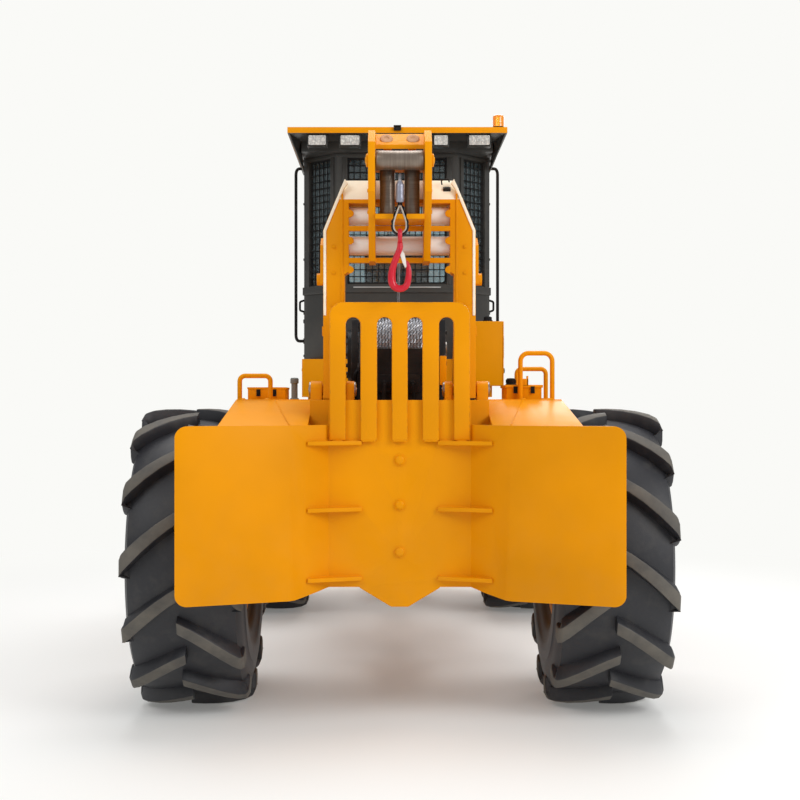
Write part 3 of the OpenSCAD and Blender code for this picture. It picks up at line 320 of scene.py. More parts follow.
# half profile of the carcass from the bead to the middle of the tread: across, radius
carcass = [(0.222, bead_r), (0.243, bead_r + 0.004), (0.252, bead_r + 0.022), (0.262, bead_r + 0.05),
           (0.268, bead_r + 0.054), (0.283, bead_r + 0.1), (0.297, bead_r + 0.15), (0.301, bead_r + 0.156),
           (0.3035, bead_r + 0.2), (0.303, bead_r + 0.245), (0.2985, bead_r + 0.25), (0.296, bead_r + 0.3),
           (0.287, bead_r + 0.345), (0.27, bead_r + 0.38), (0.24, carcass_r - 0.022),
           (0.18, carcass_r - 0.01), (0.09, carcass_r - 0.002), (0.0, carcass_r)]
inner = [(0.2, bead_r + 0.02), (0.255, bead_r + 0.15), (0.25, bead_r + 0.3), (0.19, carcass_r - 0.06),
         (0.0, carcass_r - 0.045)]
# one bar from its inner end over the shoulder: across, radius of its top, lag behind its tip
bar_line = [(-0.018, tyre_r - 0.002, 0.0), (0.05, tyre_r - 0.0005, 0.05), (0.12, tyre_r - 0.001, 0.115),
            (0.19, tyre_r - 0.004, 0.19), (0.25, tyre_r - 0.01, 0.262), (0.288, tyre_r - 0.022, 0.312),
            (0.303, tyre_r - 0.055, 0.338), (0.3045, tyre_r - 0.11, 0.36), (0.302, tyre_r - 0.142, 0.37)]


def chevron_bar(bm, centre, side, start, lug_mark):
    """One tread bar: a ridge with sloping flanks that runs from the middle down over the shoulder."""
    rings = []
    for across, radius, lag in bar_line:
        thick = 0.032 + 0.012 * min(1, max(0, across) / 0.25)
        base = min(radius - 0.02, carcass_r - 0.03)
        inward = 0.07 if across > 0.3 else 0.0
        ring = []
        for a, r, half in ((across - inward, base, thick + 0.018), (across, radius, thick),
                           (across, radius, -thick), (across - inward, base, -thick - 0.018)):
            ring.append(bm.verts.new(on_wheel(centre, side * a, r, start + lag + half / carcass_r)))
        rings.append(ring)
    for here, there in zip(rings, rings[1:]):
        for k in range(4):
            face = bm.faces.new((here[k], here[(k + 1) % 4], there[(k + 1) % 4], there[k]))
            if k == 1:
                face[lug_mark] = 1.0
    bm.faces.new(rings[0])
    bm.faces.new(rings[-1])


def blank_finish(name):
    """A new material with its node tree, its main shader and the place on the object."""
    finish = bpy.data.materials.new(name)
    finish.use_nodes = True
    tree = finish.node_tree
    return finish, tree, tree.nodes["Principled BSDF"], put(tree, "TexCoord").outputs["Object"]


rubber, tree, shader, spot = blank_finish("tyre rubber")
soil = put(tree, "TexNoise", {"Vector": spot, "Scale": 9.0, "Detail": 7.0, "Roughness": 0.6})
scuff = put(tree, "TexNoise", {"Vector": spot, "Scale": 60.0, "Detail": 4.0, "Roughness": 0.7})
worn_face = put(tree, "Attribute", attribute_name="lug").outputs["Fac"]
patch = put(tree, "MapRange",
            {"Value": soil.outputs["Fac"], "From Min": 0.36, "From Max": 0.62, "To Min": 0.55, "To Max": 1.0})
scuffed = put(tree, "Math", {0: worn_face, 1: patch.outputs[0]}, operation="MULTIPLY")
film = put(tree, "MapRange", {"Value": soil.outputs["Fac"], "From Min": 0.5, "From Max": 0.8, "To Max": 0.25})
dirt = put(tree, "Math", {0: scuffed.outputs[0], 1: film.outputs[0]}, operation="MAXIMUM")
black = put(tree, "MixRGB", {"Fac": scuff.outputs["Fac"], "Color1": (0.011, 0.012, 0.017, 1),
                             "Color2": (0.022, 0.022, 0.026, 1)})
rubbed = put(tree, "MixRGB",
             {"Fac": dirt.outputs[0], "Color1": black.outputs[0], "Color2": (0.13, 0.118, 0.1, 1)})
rough = put(tree, "MapRange", {"Value": dirt.outputs[0], "To Min": 0.5, "To Max": 0.85})
grain = put(tree, "TexNoise", {"Vector": spot, "Scale": 220.0, "Detail": 3.0})
relief = put(tree, "Bump", {"Height": grain.outputs["Fac"], "Strength": 0.25, "Distance": 0.002})
feed(shader, {"Base Color": rubbed.outputs[0], "Roughness": rough.outputs[0], "Normal": relief.outputs[0]})

rim_paint = painted("rim paint", (0.75, 0.25, 0.005), (0.25, 0.1, 0.03), chips=0.5, dust=0.5)


def dressed_tyre(place):
    """The tyre of one corner of the machine, moulded round its axle."""
    node = "tyre_" + place
    low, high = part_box(node)
    centre = (low + high) / 2
    bm = bmesh.new()
    bm.faces.layers.float.new("lug")
    outside = carcass + [(-a, r) for a, r in reversed(carcass[:-1])]
    inside = [(-a, r) for a, r in inner] + [(a, r) for a, r in reversed(inner[:-1])]
    lathe(bm, centre, outside + inside, 96)
    bmesh.ops.recalc_face_normals(bm, faces=bm.faces)
    bars = bmesh.new()
    bar_mark = bars.faces.layers.float.new("lug")
    for side in (-1, 1):
        for i in range(bars_a_side):
            start = 2 * math.pi * (i + (0.5 if side > 0 else 0.0) + first_bar) / bars_a_side
            chevron_bar(bars, centre, side, start, bar_mark)
    bmesh.ops.recalc_face_normals(bars, faces=bars.faces)
    hard = [e for e in bars.edges if len(e.link_faces) == 2 and e.calc_face_angle(0) > math.radians(35)]
    bmesh.ops.bevel(bars, geom=hard, offset=0.007, segments=2, profile=0.5, affect="EDGES",
                    clamp_overlap=True)
    reach_x = tyre_half - side_gap
    for vertex in bars.verts:
        vertex.co.x = min(max(vertex.co.x, centre.x - reach_x), centre.x + reach_x)
    absorb(bm, bars)
    piece = settle(bm, node.replace("_", "-") + "-moulded", "wheel_" + place, rubber, angle=40)
    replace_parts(piece, node)


for place in ("rear_left", "rear_right", "front_left", "front_right"):
    dressed_tyre(place)
    dressed("rim_" + place, rim_paint, 0.003)

# ---- butt plate ----
# A wall of 32 mm steel, folded in five faces, that the logs are pulled against.
# Gussets are welded across its folds and round-headed bolts clamp its middle.


def slab(bm, x, y, z):
    """A box between two limits on each axis."""
    corner = [bm.verts.new((a, b, c)) for a in x for b in y for c in z]
    for quad in ((0, 1, 3, 2), (4, 6, 7, 5), (0, 4, 5, 1), (2, 3, 7, 6), (0, 2, 6, 4), (1, 5, 7, 3)):
        bm.faces.new([corner[i] for i in quad])


def prism(bm, outline, a, b, axis="X"):
    """A plate from a to b along an axis; its outline lies on the other two axes in order."""
    def place(p, along):
        return {"X": (along, p[0], p[1]), "Y": (p[0], along, p[1]), "Z": (p[0], p[1], along)}[axis]
    near, far = ([bm.verts.new(place(p, along)) for p in outline] for along in (a, b))
    bm.faces.new(near)
    bm.faces.new(far[::-1])
    for i in range(len(outline)):
        j = (i + 1) % len(outline)
        bm.faces.new((near[i], far[i], far[j], near[j]))


def axes_on(path):
    """Each point of a path, with two axes across the path that don't twist along it."""
    path = [Vector(p) for p in path]
    last, side = len(path) - 1, None
    for i, p in enumerate(path):
        along = (path[min(i + 1, last)] - path[max(i - 1, 0)]).normalized()
        side = along.orthogonal() if side is None else side - along * side.dot(along)
        side.normalize()
        yield p, side, along.cross(side)


def sweep(bm, path, radius, steps=12, flat=1.0):
    """A tube along a path; the radius is one number or one for each point."""
    radii = radius if isinstance(radius, list) else [radius] * len(path)
    rings = []
    for i, (p, side, up) in enumerate(axes_on(path)):
        turns = (2 * math.pi * (k + 0.5) / steps for k in range(steps))
        rings.append([bm.verts.new(p + (side * math.cos(t) + up * (math.sin(t) * flat)) * radii[i])
                      for t in turns])
    skin(bm, rings)
    bm.faces.new(rings[0])
    bm.faces.new(rings[-1])


def turned(bm, base, axis, profile, steps=28):
    """A solid turned round an axis from [along, radius] points; a radius of zero closes an end."""
    base, axis = Vector(base), Vector(axis).normalized()
    side = axis.orthogonal().normalized()
    up = axis.cross(side)
    rings = []
    for along, radius in profile:
        turns = [2 * math.pi * k / steps for k in range(steps)] if radius > 0 else [0]
        rings.append([bm.verts.new(base + axis * along + (side * math.cos(t) + up * math.sin(t)) * radius)
                      for t in turns])
    for here, there in zip(rings, rings[1:]):
        for k in range(steps):
            corners = []
            for ring, i in ((here, k), (here, k + 1), (there, k + 1), (there, k)):
                if ring[i % len(ring)] not in corners:
                    corners.append(ring[i % len(ring)])
            bm.faces.new(corners)
    for ring in (rings[0], rings[-1]):
        if len(ring) > 1:
            bm.faces.new(ring)


def rounded(points, radius, parts=6):
    """A path through the points with its corners bent to a radius."""
    points = [Vector(p) for p in points]
    path = [points[0]]
    for before, corner, after in zip(points, points[1:], points[2:]):
        back, ahead = before - corner, after - corner
        cut = radius / math.tan(back.angle(ahead) / 2)
        start = corner + back.normalized() * min(cut, back.length * 0.49)
        end = corner + ahead.normalized() * min(cut, ahead.length * 0.49)
        for i in range(parts + 1):
            t = i / parts
            path.append(start * (1 - t) ** 2 + corner * (2 * t * (1 - t)) + end * t * t)
    return path + [points[-1]]


def bead(bm, a, b, radius=0.006):
    """A rippled weld bead from a to b."""
    a, b = Vector(a), Vector(b)
    count = max(3, int((b - a).length / 0.006))
    widths = [radius * (0.9 + 0.2 * (i % 2)) for i in range(count + 1)]
    widths[0] = widths[-1] = radius * 0.4
    sweep(bm, [a.lerp(b, i / count) for i in range(count + 1)], widths, 6)


def scatter(name, sockets, result):
    """A geometry group with its named inputs, a finish among them, and its input node."""
    group = bpy.data.node_groups.new(name, "GeometryNodeTree")
    for socket, kind in sockets + [("Finish", "Material")]:
        group.interface.new_socket(socket, in_out="INPUT", socket_type="NodeSocket" + kind)
    group.interface.new_socket(result, in_out="OUTPUT", socket_type="NodeSocketGeometry")
    return group, group.nodes.new("NodeGroupInput")


def hand_out(group, given, scattered):
    """Makes the instances of a group real, gives them its finish and passes them out."""
    real = put(group, "GeometryNodeRealizeInstances", {"Geometry": scattered.outputs[0]})
    coated = put(group, "GeometryNodeSetMaterial",
                 {"Geometry": real.outputs[0], "Material": given.outputs["Finish"]})
    feed(group.nodes.new("NodeGroupOutput"), {0: coated.outputs[0]})


# Hexagon bolt heads on washers, one at each point, turned the way stored with it.
hex_heads, given = scatter("hexagon heads", [("Places", "Geometry"), ("Head height", "Float")], "Heads")
head = put(hex_heads, "GeometryNodeMeshCylinder",
           {"Vertices": 6, "Radius": 1.0, "Depth": given.outputs["Head height"]})
lift = put(hex_heads, "GeometryNodeTransform", {"Geometry": head.outputs["Mesh"], "Translation": (0, 0, 0.5)})
washer = put(hex_heads, "GeometryNodeMeshCylinder", {"Vertices": 24, "Radius": 1.35, "Depth": 0.22})
flat_head = put(hex_heads, "GeometryNodeJoinGeometry")
for part in (lift.outputs[0], washer.outputs["Mesh"]):
    hex_heads.links.new(part, flat_head.inputs[0])
facing = put(hex_heads, "GeometryNodeInputNamedAttribute", {"Name": "facing"}, data_type="FLOAT_VECTOR")
size = put(hex_heads, "GeometryNodeInputNamedAttribute", {"Name": "size"}, data_type="FLOAT")
turn = put(hex_heads, "FunctionNodeAlignRotationToVector", {"Vector": facing.outputs["Attribute"]}, axis="Z")
set_heads = put(hex_heads, "GeometryNodeInstanceOnPoints",
                {"Points": given.outputs["Places"], "Instance": flat_head.outputs[0],
                 "Rotation": turn.outputs[0], "Scale": size.outputs["Attribute"]})
hand_out(hex_heads, given, set_heads)


def grown(name, body, group, values, place=None, points=None):
    """The piece that a geometry group makes on a carrier object, which is then removed."""
    carrier = bpy.data.objects.new(name, points or bpy.data.meshes.new(name))
    scene.collection.objects.link(carrier)
    modifier = carrier.modifiers.new("grow", "NODES")
    modifier.node_group = group
    for item in group.interface.items_tree:
        if item.in_out == "INPUT" and item.name in values:
            modifier[item.identifier] = values[item.name]
    carrier.update_tag()
    shown = carrier.evaluated_get(bpy.context.evaluated_depsgraph_get())
    mesh = bpy.data.meshes.new_from_object(shown)
    carrier.modifiers.remove(modifier)
    bpy.data.objects.remove(carrier)
    if place:
        mesh.transform(place)
    piece = bpy.data.objects.new(name, mesh)
    scene.collection.objects.link(piece)
    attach(piece, body)


def bolts(name, body, finish, places, height=0.7):
    """Bolt heads at places, each a point, the way it faces and the radius of its corners."""
    points = bpy.data.meshes.new(name)
    points.from_pydata([p for p, way, size in places], [], [])
    points.attributes.new("facing", "FLOAT_VECTOR", "POINT")
    points.attributes.new("size", "FLOAT", "POINT")
    for i, (p, way, size) in enumerate(places):
        points.attributes["facing"].data[i].vector = way
        points.attributes["size"].data[i].value = size
    grown(name, body, hex_heads, {"Finish": finish, "Head height": height}, points=points)


dressed("butt_plate", yellow, 0.005)
centre_x, centre_y = 0.364, -2.375

welds = bmesh.new()
for side in (-1, 1):
    for z in (0.737, 1.09, 1.428):
        for level in (z - 0.001, z + 0.021):
            bead(welds, (side * (centre_x - 0.165), centre_y - 0.001, level),
                 (side * centre_x, centre_y - 0.001, level), 0.005)
            bead(welds, (side * centre_x, centre_y - 0.001, level),
                 (side * (centre_x + 0.098), centre_y - 0.099, level), 0.005)
    bead(welds, (side * 0.205, centre_y + 0.004, 0.702), (side * 0.042, centre_y + 0.004, 0.604), 0.005)
settle(welds, "butt-plate-welds", "rear", yellow)

heads = bmesh.new()
for z in (0.88, 1.12, 1.35):
    turned(heads, (0, centre_y, z), (0, -1, 0),
           [(-0.002, 0), (-0.002, 0.033), (0.003, 0.033), (0.004, 0.0265), (0.008, 0.026), (0.012, 0.0235),
            (0.0155, 0.0185), (0.0178, 0.011), (0.0185, 0)])
settle(heads, "butt-plate-bolts", "rear", yellow, angle=50)

# ---- log guard ----
# An upright plate with four slots keeps the logs off the winch and still lets
# the operator see the line. It is flame-cut, ground round the rim and painted.
dressed("log_guard", yellow, 0.006)
low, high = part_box("log_guard")
seams = bmesh.new()
bead(seams, (low.x + 0.004, high.y - 0.012, 1.657), (low.x + 0.004, high.y - 0.012, low.z + 0.01), 0.005)
bead(seams, (high.x - 0.004, high.y - 0.012, 1.657), (high.x - 0.004, high.y - 0.012, low.z + 0.01), 0.005)
for x in (-0.3175, -0.158, 0, 0.158, 0.3175):
    half = 0.026 if abs(x) > 0.3 else 0.036
    bead(seams, (x - half, low.y + 0.003, low.z - 0.002), (x + half, low.y + 0.003, low.z - 0.002), 0.005)
settle(seams, "log-guard-welds", "rear", yellow)

# ---- rear fenders ----
# Folded plate decks slope down from the frame to the wings and cover the fuel
# and oil tanks. The walkways on top are studded against slipping.
dressed("rear_fenders", yellow, 0.004)

lozenges, given = scatter("tread plate", [("Width", "Float"), ("Length", "Float"), ("Pitch", "Float")],
                          "Studs")


def count_of(span):
    """The number of studs along a side of the field."""
    return put(lozenges, "Math", {0: given.outputs[span], 1: given.outputs["Pitch"]},
               operation="DIVIDE").outputs[0]


field = put(lozenges, "GeometryNodeMeshGrid",
            {"Size X": given.outputs["Width"], "Size Y": given.outputs["Length"],
             "Vertices X": count_of("Width"), "Vertices Y": count_of("Length")})
stud = put(lozenges, "GeometryNodeMeshCone",
           {"Vertices": 4, "Radius Top": 0.6, "Radius Bottom": 1.0, "Depth": 0.28})
order = put(lozenges, "GeometryNodeInputIndex")
odd = put(lozenges, "Math", {0: order.outputs[0], 1: 2.0}, operation="MODULO")
slant = put(lozenges, "Math", {0: odd.outputs[0], 1: math.pi / 2, 2: math.pi / 4}, operation="MULTIPLY_ADD")
turn = put(lozenges, "CombineXYZ", {"Z": slant.outputs[0]})
set_studs = put(lozenges, "GeometryNodeInstanceOnPoints",
                {"Points": field.outputs["Mesh"], "Instance": stud.outputs["Mesh"],
                 "Rotation": turn.outputs[0], "Scale": (0.013, 0.005, 0.007)})
hand_out(lozenges, given, set_studs)


def tread_plate(name, body, centre, width, length, pitch=0.03):
    """Raised lozenges over a rectangle of walkway."""
    grown(name, body, lozenges,
          {"Width": width, "Length": length, "Pitch": pitch, "Finish": yellow},
          Matrix.Translation(centre))


deck_top = 1.657
tread_plate("left-walkway", "rear", (-0.56, -1.5, deck_top + 0.0005), 0.14, 0.7)
tread_plate("right-walkway", "rear", (0.525, -1.36, deck_top + 0.0005), 0.11, 0.42)

# filler cap, breather post, straps of the tanks and the seams of the sloping plates
rubber_black = painted("black plastic", (0.012, 0.012, 0.013), (0.03, 0.03, 0.03), roughness=0.5, chips=0.1,
                       dust=0.35, coat=0.0)
grey_paint = painted("grey paint", (0.2, 0.21, 0.2), (0.3, 0.28, 0.25), roughness=0.45, chips=0.3, dust=0.4)
fittings = bmesh.new()
turned(fittings, (-0.62, -1.2, deck_top - 0.002), (0, 0, 1),
       [(0, 0), (0, 0.026), (0.012, 0.026), (0.014, 0.019), (0.1, 0.019),
        (0.102, 0.025), (0.128, 0.025), (0.134, 0.02), (0.136, 0)])
settle(fittings, "breather-post", "rear", grey_paint, 0.001)
cap = bmesh.new()
turned(cap, (0.634, -1.66, 1.739), (0, 0, 1),
       [(0, 0), (0, 0.03), (0.008, 0.031), (0.012, 0.026), (0.034, 0.026), (0.04, 0.022),
        (0.042, 0)], 20)
for k in range(10):
    turn_at = 2 * math.pi * k / 10
    turned(cap, (0.634 + 0.026 * math.cos(turn_at), -1.66 + 0.026 * math.sin(turn_at), 1.753), (0, 0, 1),
           [(0, 0), (0, 0.0035), (0.018, 0.0035), (0.02, 0)], 6)
settle(cap, "filler-cap", "rear", rubber_black)
welds = bmesh.new()
for side in (-1, 1):
    bead(welds, (side * 0.68, -1.869, deck_top - 0.001), (side * 0.553, -2.53, 1.532), 0.0045)
    bead(welds, (side * 0.47, -1.871, deck_top), (side * 0.893, -1.871, deck_top), 0.004)
    for y in (-1.75, -1.45):
        slab(welds, (side * 0.7, side * 0.704), (y - 0.02, y + 0.02), (1.19, 1.63))
settle(welds, "fender-seams", "rear", yellow)

# ---- deck rails and boxes ----
# Hand rails of bent tube stand on the decks beside a tool box and a battery
# box of folded sheet. Their lids turn on small hinges and close with latches.
dressed("deck_rails", yellow, 0.0025)
trim = bmesh.new()
for x, y in ((-0.864, -1.84), (-0.721, -1.84), (0.683, -1.84), (0.832, -1.84), (0.713, -1.31),
             (0.859, -1.31)):
    turned(trim, (x, y, deck_top - 0.001), (0, 0, 1),
           [(0, 0), (0, 0.03), (0.005, 0.03), (0.006, 0.019), (0.012, 0.0135), (0.012, 0)], 20)
for x in (-0.8, -0.69):
    slab(trim, (x - 0.018, x + 0.018), (-1.379, -1.371), (1.7, 1.722))
slab(trim, (-0.853, -0.637), (-1.678, -1.372), (1.718, 1.729))
slab(trim, (0.668, 0.716), (-1.817, -1.8125), (1.735, 1.775))
slab(trim, (0.668, 0.676), (-1.817, -1.78), (1.735, 1.79))
slab(trim, (0.708, 0.716), (-1.817, -1.78), (1.735, 1.79))
settle(trim, "deck-rail-feet-and-lids", "rear", yellow, 0.0015)
latches = bmesh.new()
for x, y, z in ((-0.79, -1.681, 1.7), (-0.7, -1.681, 1.7), (0.645, -1.82, 1.716), (0.74, -1.82, 1.716)):
    slab(latches, (x - 0.011, x + 0.011), (y, y + 0.006), (z - 0.022, z + 0.016))
    sweep(latches, rounded([(x - 0.008, y, z - 0.016), (x - 0.008, y - 0.008, z - 0.02),
                            (x + 0.008, y - 0.008, z - 0.02), (x + 0.008, y, z - 0.016)], 0.003, 3), 0.002, 6)
settle(latches, "box-latches", "rear", rubber_black, 0.001)

# ---- arch ----
# The arch is a portal of box-section legs bolted and pinned to the frame, with
# cover plates along its back edges and lugs that hold the spacer tubes. The pale
# cream on its faces that slope up and back high on the arch, and on the cover
# plates, is a painted highlight that stands for strong top light on yellow steel.
# The pale cream is a painted highlight, not a paint that the arch has.
highlight_cream = painted("pale painted highlight", (1.0, 0.93, 0.76), (0.35, 0.2, 0.08), roughness=0.4, chips=0.3, dust=0.15)
arch = dressed("arch", yellow, 0.006)
arch.data.materials.append(highlight_cream)
# Faces high on the arch that slope up and back take the pale cream as a painted highlight.
for face in arch.data.polygons:
    if face.normal.y < -0.3 and face.normal.z > 0.3 and face.center.z > 2.69:
        face.material_index = 1
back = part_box("arch")[0].y
# Cover strips along the back edges of the legs, coloured with the pale cream as a painted highlight.
covers = bmesh.new()
for side in (-1, 1):
    line = [(0.3985, 2.1), (0.3985, 2.547), (0.3075, 2.77), (0.2865, 2.817)]
    inner_line = [(0.384, 2.1), (0.384, 2.543), (0.294, 2.762), (0.27, 2.795)]
    prism(covers, [(side * x, z) for x, z in line + inner_line[::-1]], back - 0.005, back + 0.03, "Y")
bmesh.ops.recalc_face_normals(covers, faces=covers.faces)
settle(covers, "arch-edge-covers", "rear", highlight_cream, 0.003)
ribs = bmesh.new()
for side in (-1, 1):
    slab(ribs, (side * 0.296, side * 0.305), (back - 0.004, back + 0.02), (1.78, 2.74))
    for z in (2.341, 2.493, 2.636):
        prism(ribs, [(side * (0.267 - 0.028 * math.sin(a)), z + 0.021 * math.cos(a)) for a in
                     (math.pi * k / 10 for k in range(11))], back - 0.002, back + 0.012, "Y")
    for z in (2.02, 2.3):
        slab(ribs, (side * 0.399, side * 0.407), (back + 0.02, back + 0.11), (z - 0.025, z + 0.025))
settle(ribs, "arch-lugs", "rear", yellow, 0.002)
arch_bolts = []
for side in (-1, 1):
    for z in (2.155, 2.325, 2.462):
        arch_bolts.append(((side * 0.345, back - 0.001, z), (0, -1, 0), 0.0085))
    for x in (0.302, 0.386):
        arch_bolts.append(((side * x, -1.375, 1.232), (0, 0, 1), 0.014))
bolts("arch-bolts", "rear", yellow, arch_bolts, 0.6)
steel, tree, shader, spot = blank_finish("pin steel")
smear = put(tree, "TexNoise", {"Vector": spot, "Scale": 40.0, "Detail": 6.0, "Roughness": 0.65})
ramp = put(tree, "MixRGB",
           {"Fac": smear.outputs["Fac"], "Color1": (0.2, 0.16, 0.13, 1), "Color2": (0.52, 0.5, 0.48, 1)})
dulled = put(tree, "MapRange", {"Value": smear.outputs["Fac"], "To Min": 0.25, "To Max": 0.6})
feed(shader, {"Base Color": ramp.outputs[0], "Roughness": dulled.outputs[0], "Metallic": 0.9})
pins = bmesh.new()
pin_y = -2.13
for side in (-1, 1):
    for x, way in ((side * 0.468, side), (side * 0.238, -side)):
        turned(pins, (x, pin_y, 1.712), (way, 0, 0),
               [(-0.002, 0), (-0.002, 0.04), (0.006, 0.04), (0.009, 0.036), (0.009, 0.012),
                (0.013, 0.01), (0.013, 0)], 24)
settle(pins, "arch-pin-caps", "rear", steel, angle=40)
box = bmesh.new()
tilt = Matrix.Translation((0.25, back + 0.027, 2.757)) @ Matrix.Rotation(math.radians(-60), 4, "X")
slab(box, (-0.02, 0.02), (-0.014, 0.014), (-0.002, 0.024))
slab(box, (-0.012, 0.012), (-0.018, -0.012), (0.004, 0.018))
sweep(box, rounded([(-0.026, -0.03, 0.012), (-0.03, -0.058, 0.014), (0.008, -0.06, 0.016),
                    (0.012, -0.044, 0.014)], 0.01, 4), 0.004, 8)
bmesh.ops.transform(box, matrix=tilt, verts=box.verts)
settle(box, "arch-latch", "rear", rubber_black, 0.0015)

# ---- arch spacers ----
# Turned tubes, painted cream, keep the fairlead's uprights square between the
# legs of the arch. Each is welded to a collar at its ends.
dressed("arch_spacers",
        painted("spacer paint", (0.95, 0.98, 0.98), (0.4, 0.25, 0.12), roughness=0.42, chips=0.4, dust=0.25),
        0.002)

# ---- fairlead head ----
# Two cheek plates carry the rollers that guide the line off the winch. The
# pins are held by oval keepers; everything is welded plate, painted yellow.
dressed("fairlead_head", yellow, 0.005)
keeper = painted("keeper paint", (0.55, 0.3, 0.16), (0.2, 0.1, 0.06), roughness=0.45, chips=0.5, dust=0.4)
caps = bmesh.new()
outward = Vector((0, -0.7809, 0.6247))
for side in (-1, 1):
    centre = Vector((side * 0.068, -2.372, 2.989)) + outward * 0.001
    start = len(caps.verts)
    turned(caps, (0, 0, 0), (0, 0, 1),
           [(-0.004, 0), (-0.004, 0.033), (0.005, 0.033), (0.008, 0.029), (0.008, 0.014), (0.005, 0.011),
            (0.005, 0)], 28)
    caps.verts.ensure_lookup_table()
    fresh = caps.verts[start:]
    stand = outward.to_track_quat("Z", "X").to_matrix().to_4x4()
    bmesh.ops.transform(caps, matrix=Matrix.Translation(centre) @ stand, verts=fresh)
settle(caps, "fairlead-pin-keepers", "rear", keeper, 0.001)
sides = bmesh.new()
for side in (-1, 1):
    turned(sides, (side * 0.16, -2.465, 2.866), (side, 0, 0),
           [(-0.001, 0), (-0.001, 0.034), (0.008, 0.034), (0.011, 0.03), (0.013, 0.016),
            (0.016, 0.014), (0.016, 0)], 24)
    slab(sides, (side * 0.125, side * 0.117), (-2.42, -2.34), (2.575, 2.599))
    for z in (2.62, 2.73):
        turned(sides, (side * 0.16, -2.36, z), (side, 0, 0),
               [(-0.001, 0), (-0.001, 0.011), (0.006, 0.01), (0.007, 0)], 12)
settle(sides, "fairlead-side-bosses", "rear", yellow, 0.0015)
welds = bmesh.new()
for side in (-1, 1):
    bead(welds, (side * 0.1245, -2.45, 2.5985), (side * 0.1245, -2.2, 2.5985), 0.004)
    bead(welds, (side * 0.1245, -2.408, 2.863), (side * 0.1245, -2.257, 2.863), 0.004)
    bead(welds, (side * 0.1245, -2.413, 2.958), (side * 0.1245, -2.327, 3.027), 0.004)
    for z in (2.38, 2.548):
        bead(welds, (side * 0.1245, -2.196, z), (side * 0.1245, -2.196, z + 0.022), 0.004)
        bead(welds, (side * 0.1605, -2.196, z), (side * 0.1605, -2.196, z + 0.022), 0.004)
settle(welds, "fairlead-welds", "rear", yellow)

# ---- fairlead rollers ----
# One lying and two upright steel rollers turn on greased pins. The line has
# polished and streaked their faces round the circumference.


def roller_steel(name, stretch, tone):
    """Bare steel, brown with use and streaked by the line."""
    finish, tree, shader, spot = blank_finish(name)
    drawn = put(tree, "Mapping", {"Vector": spot, "Scale": stretch})
    streak = put(tree, "TexNoise",
                 {"Vector": drawn.outputs[0], "Scale": 1.0, "Detail": 5.0, "Roughness": 0.7})
    blotch = put(tree, "TexNoise", {"Vector": spot, "Scale": 14.0, "Detail": 4.0})
    sharp = put(tree, "MapRange", {"Value": streak.outputs["Fac"], "From Min": 0.35, "From Max": 0.65})
    mixed = put(tree, "Math", {0: sharp.outputs[0], 1: 0.7, 2: blotch.outputs["Fac"]},
                operation="MULTIPLY_ADD")
    half = put(tree, "Math", {0: mixed.outputs[0], 1: 0.6}, operation="MULTIPLY")
    hue = put(tree, "MixRGB", {"Fac": half.outputs[0], "Color1": (tone * 0.6, tone * 0.43, tone * 0.31, 1),
                               "Color2": (tone * 1.5, tone * 1.24, tone * 1.02, 1)})
    feed(shader, {"Base Color": hue.outputs[0]})
    dulled = put(tree, "MapRange", {"Value": half.outputs[0], "To Min": 0.5, "To Max": 0.28})
    feed(shader, {"Roughness": dulled.outputs[0]})
    groove = put(tree, "Bump", {"Height": streak.outputs["Fac"], "Strength": 0.3, "Distance": 0.001})
    feed(shader, {"Normal": groove.outputs[0], "Metallic": 0.65})
    return finish


def roller(node, bore, axis, stretch, tone):
    """A roller with rounded shoulders and a greased bush round its pin."""
    low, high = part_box(node)
    half, radius = max(high - low) / 2, min(high - low) / 2
    bm = bmesh.new()
    profile = [(-half, bore), (-half, radius - 0.006), (-half + 0.002, radius - 0.002),
               (-half + 0.006, radius),
               (-half * 0.5, radius - 0.0012), (0, radius - 0.0018), (half * 0.5, radius - 0.0012),
               (half - 0.006, radius),
               (half - 0.002, radius - 0.002), (half, radius - 0.006), (half, bore)]
    centre, way = (low + high) / 2, Vector(axis)
    side = way.orthogonal().normalized()
    up = way.cross(side)
    rings = []
    for k in range(40):
        t = 2 * math.pi * k / 40
        rings.append([bm.verts.new(centre + way * a + (side * math.cos(t) + up * math.sin(t)) * r)
                      for a, r in profile])
    skin(bm, rings + rings[:1])
    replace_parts(settle(bm, node.replace("_", "-") + "-turned", node,
                       roller_steel(node, stretch, tone), angle=28), node)


for node, axis, stretch, tone in (("roller_top", (1, 0, 0), (190, 4, 4), 0.2),
                                  ("roller_left", (0, 0, 1), (5, 5, 60), 0.16),
                                  ("roller_right", (0, 0, 1), (5, 5, 60), 0.16)):
    roller(node, 0.0152, axis, stretch, tone)

# ---- winch housing ----
# Two side plates carry the drum, with the planetary gearbox bolted on the left.
# Hoses bring the oil to the motor and the brake, clamped along the plates.
winch_paint = painted("winch paint", (0.016, 0.017, 0.019), (0.12, 0.1, 0.09), roughness=0.42, chips=0.5,
                      dust=0.5)
dressed("winch_housing", winch_paint, 0.004)
drum_y, drum_z = -1.35, 1.96
hub_bolts = [((-0.2955, drum_y + 0.125 * math.cos(a), drum_z - 0.04 + 0.125 * math.sin(a)), (-1, 0, 0), 0.01)
             for a in (2 * math.pi * k / 12 for k in range(12))]
hub_bolts += [((0.2705, drum_y + y, drum_z + z), (1, 0, 0), 0.013)
              for y, z in ((-0.09, -0.09), (0.09, -0.09), (-0.09, 0.09), (0.09, 0.09))]
hub_bolts += [((side * 0.2705, y, 1.25), (side, 0, 0), 0.014) for side in (-1, 1)
              for y in (-1.55, -1.35, -1.15)]
bolts("winch-bolts", "rear", winch_paint, hub_bolts)
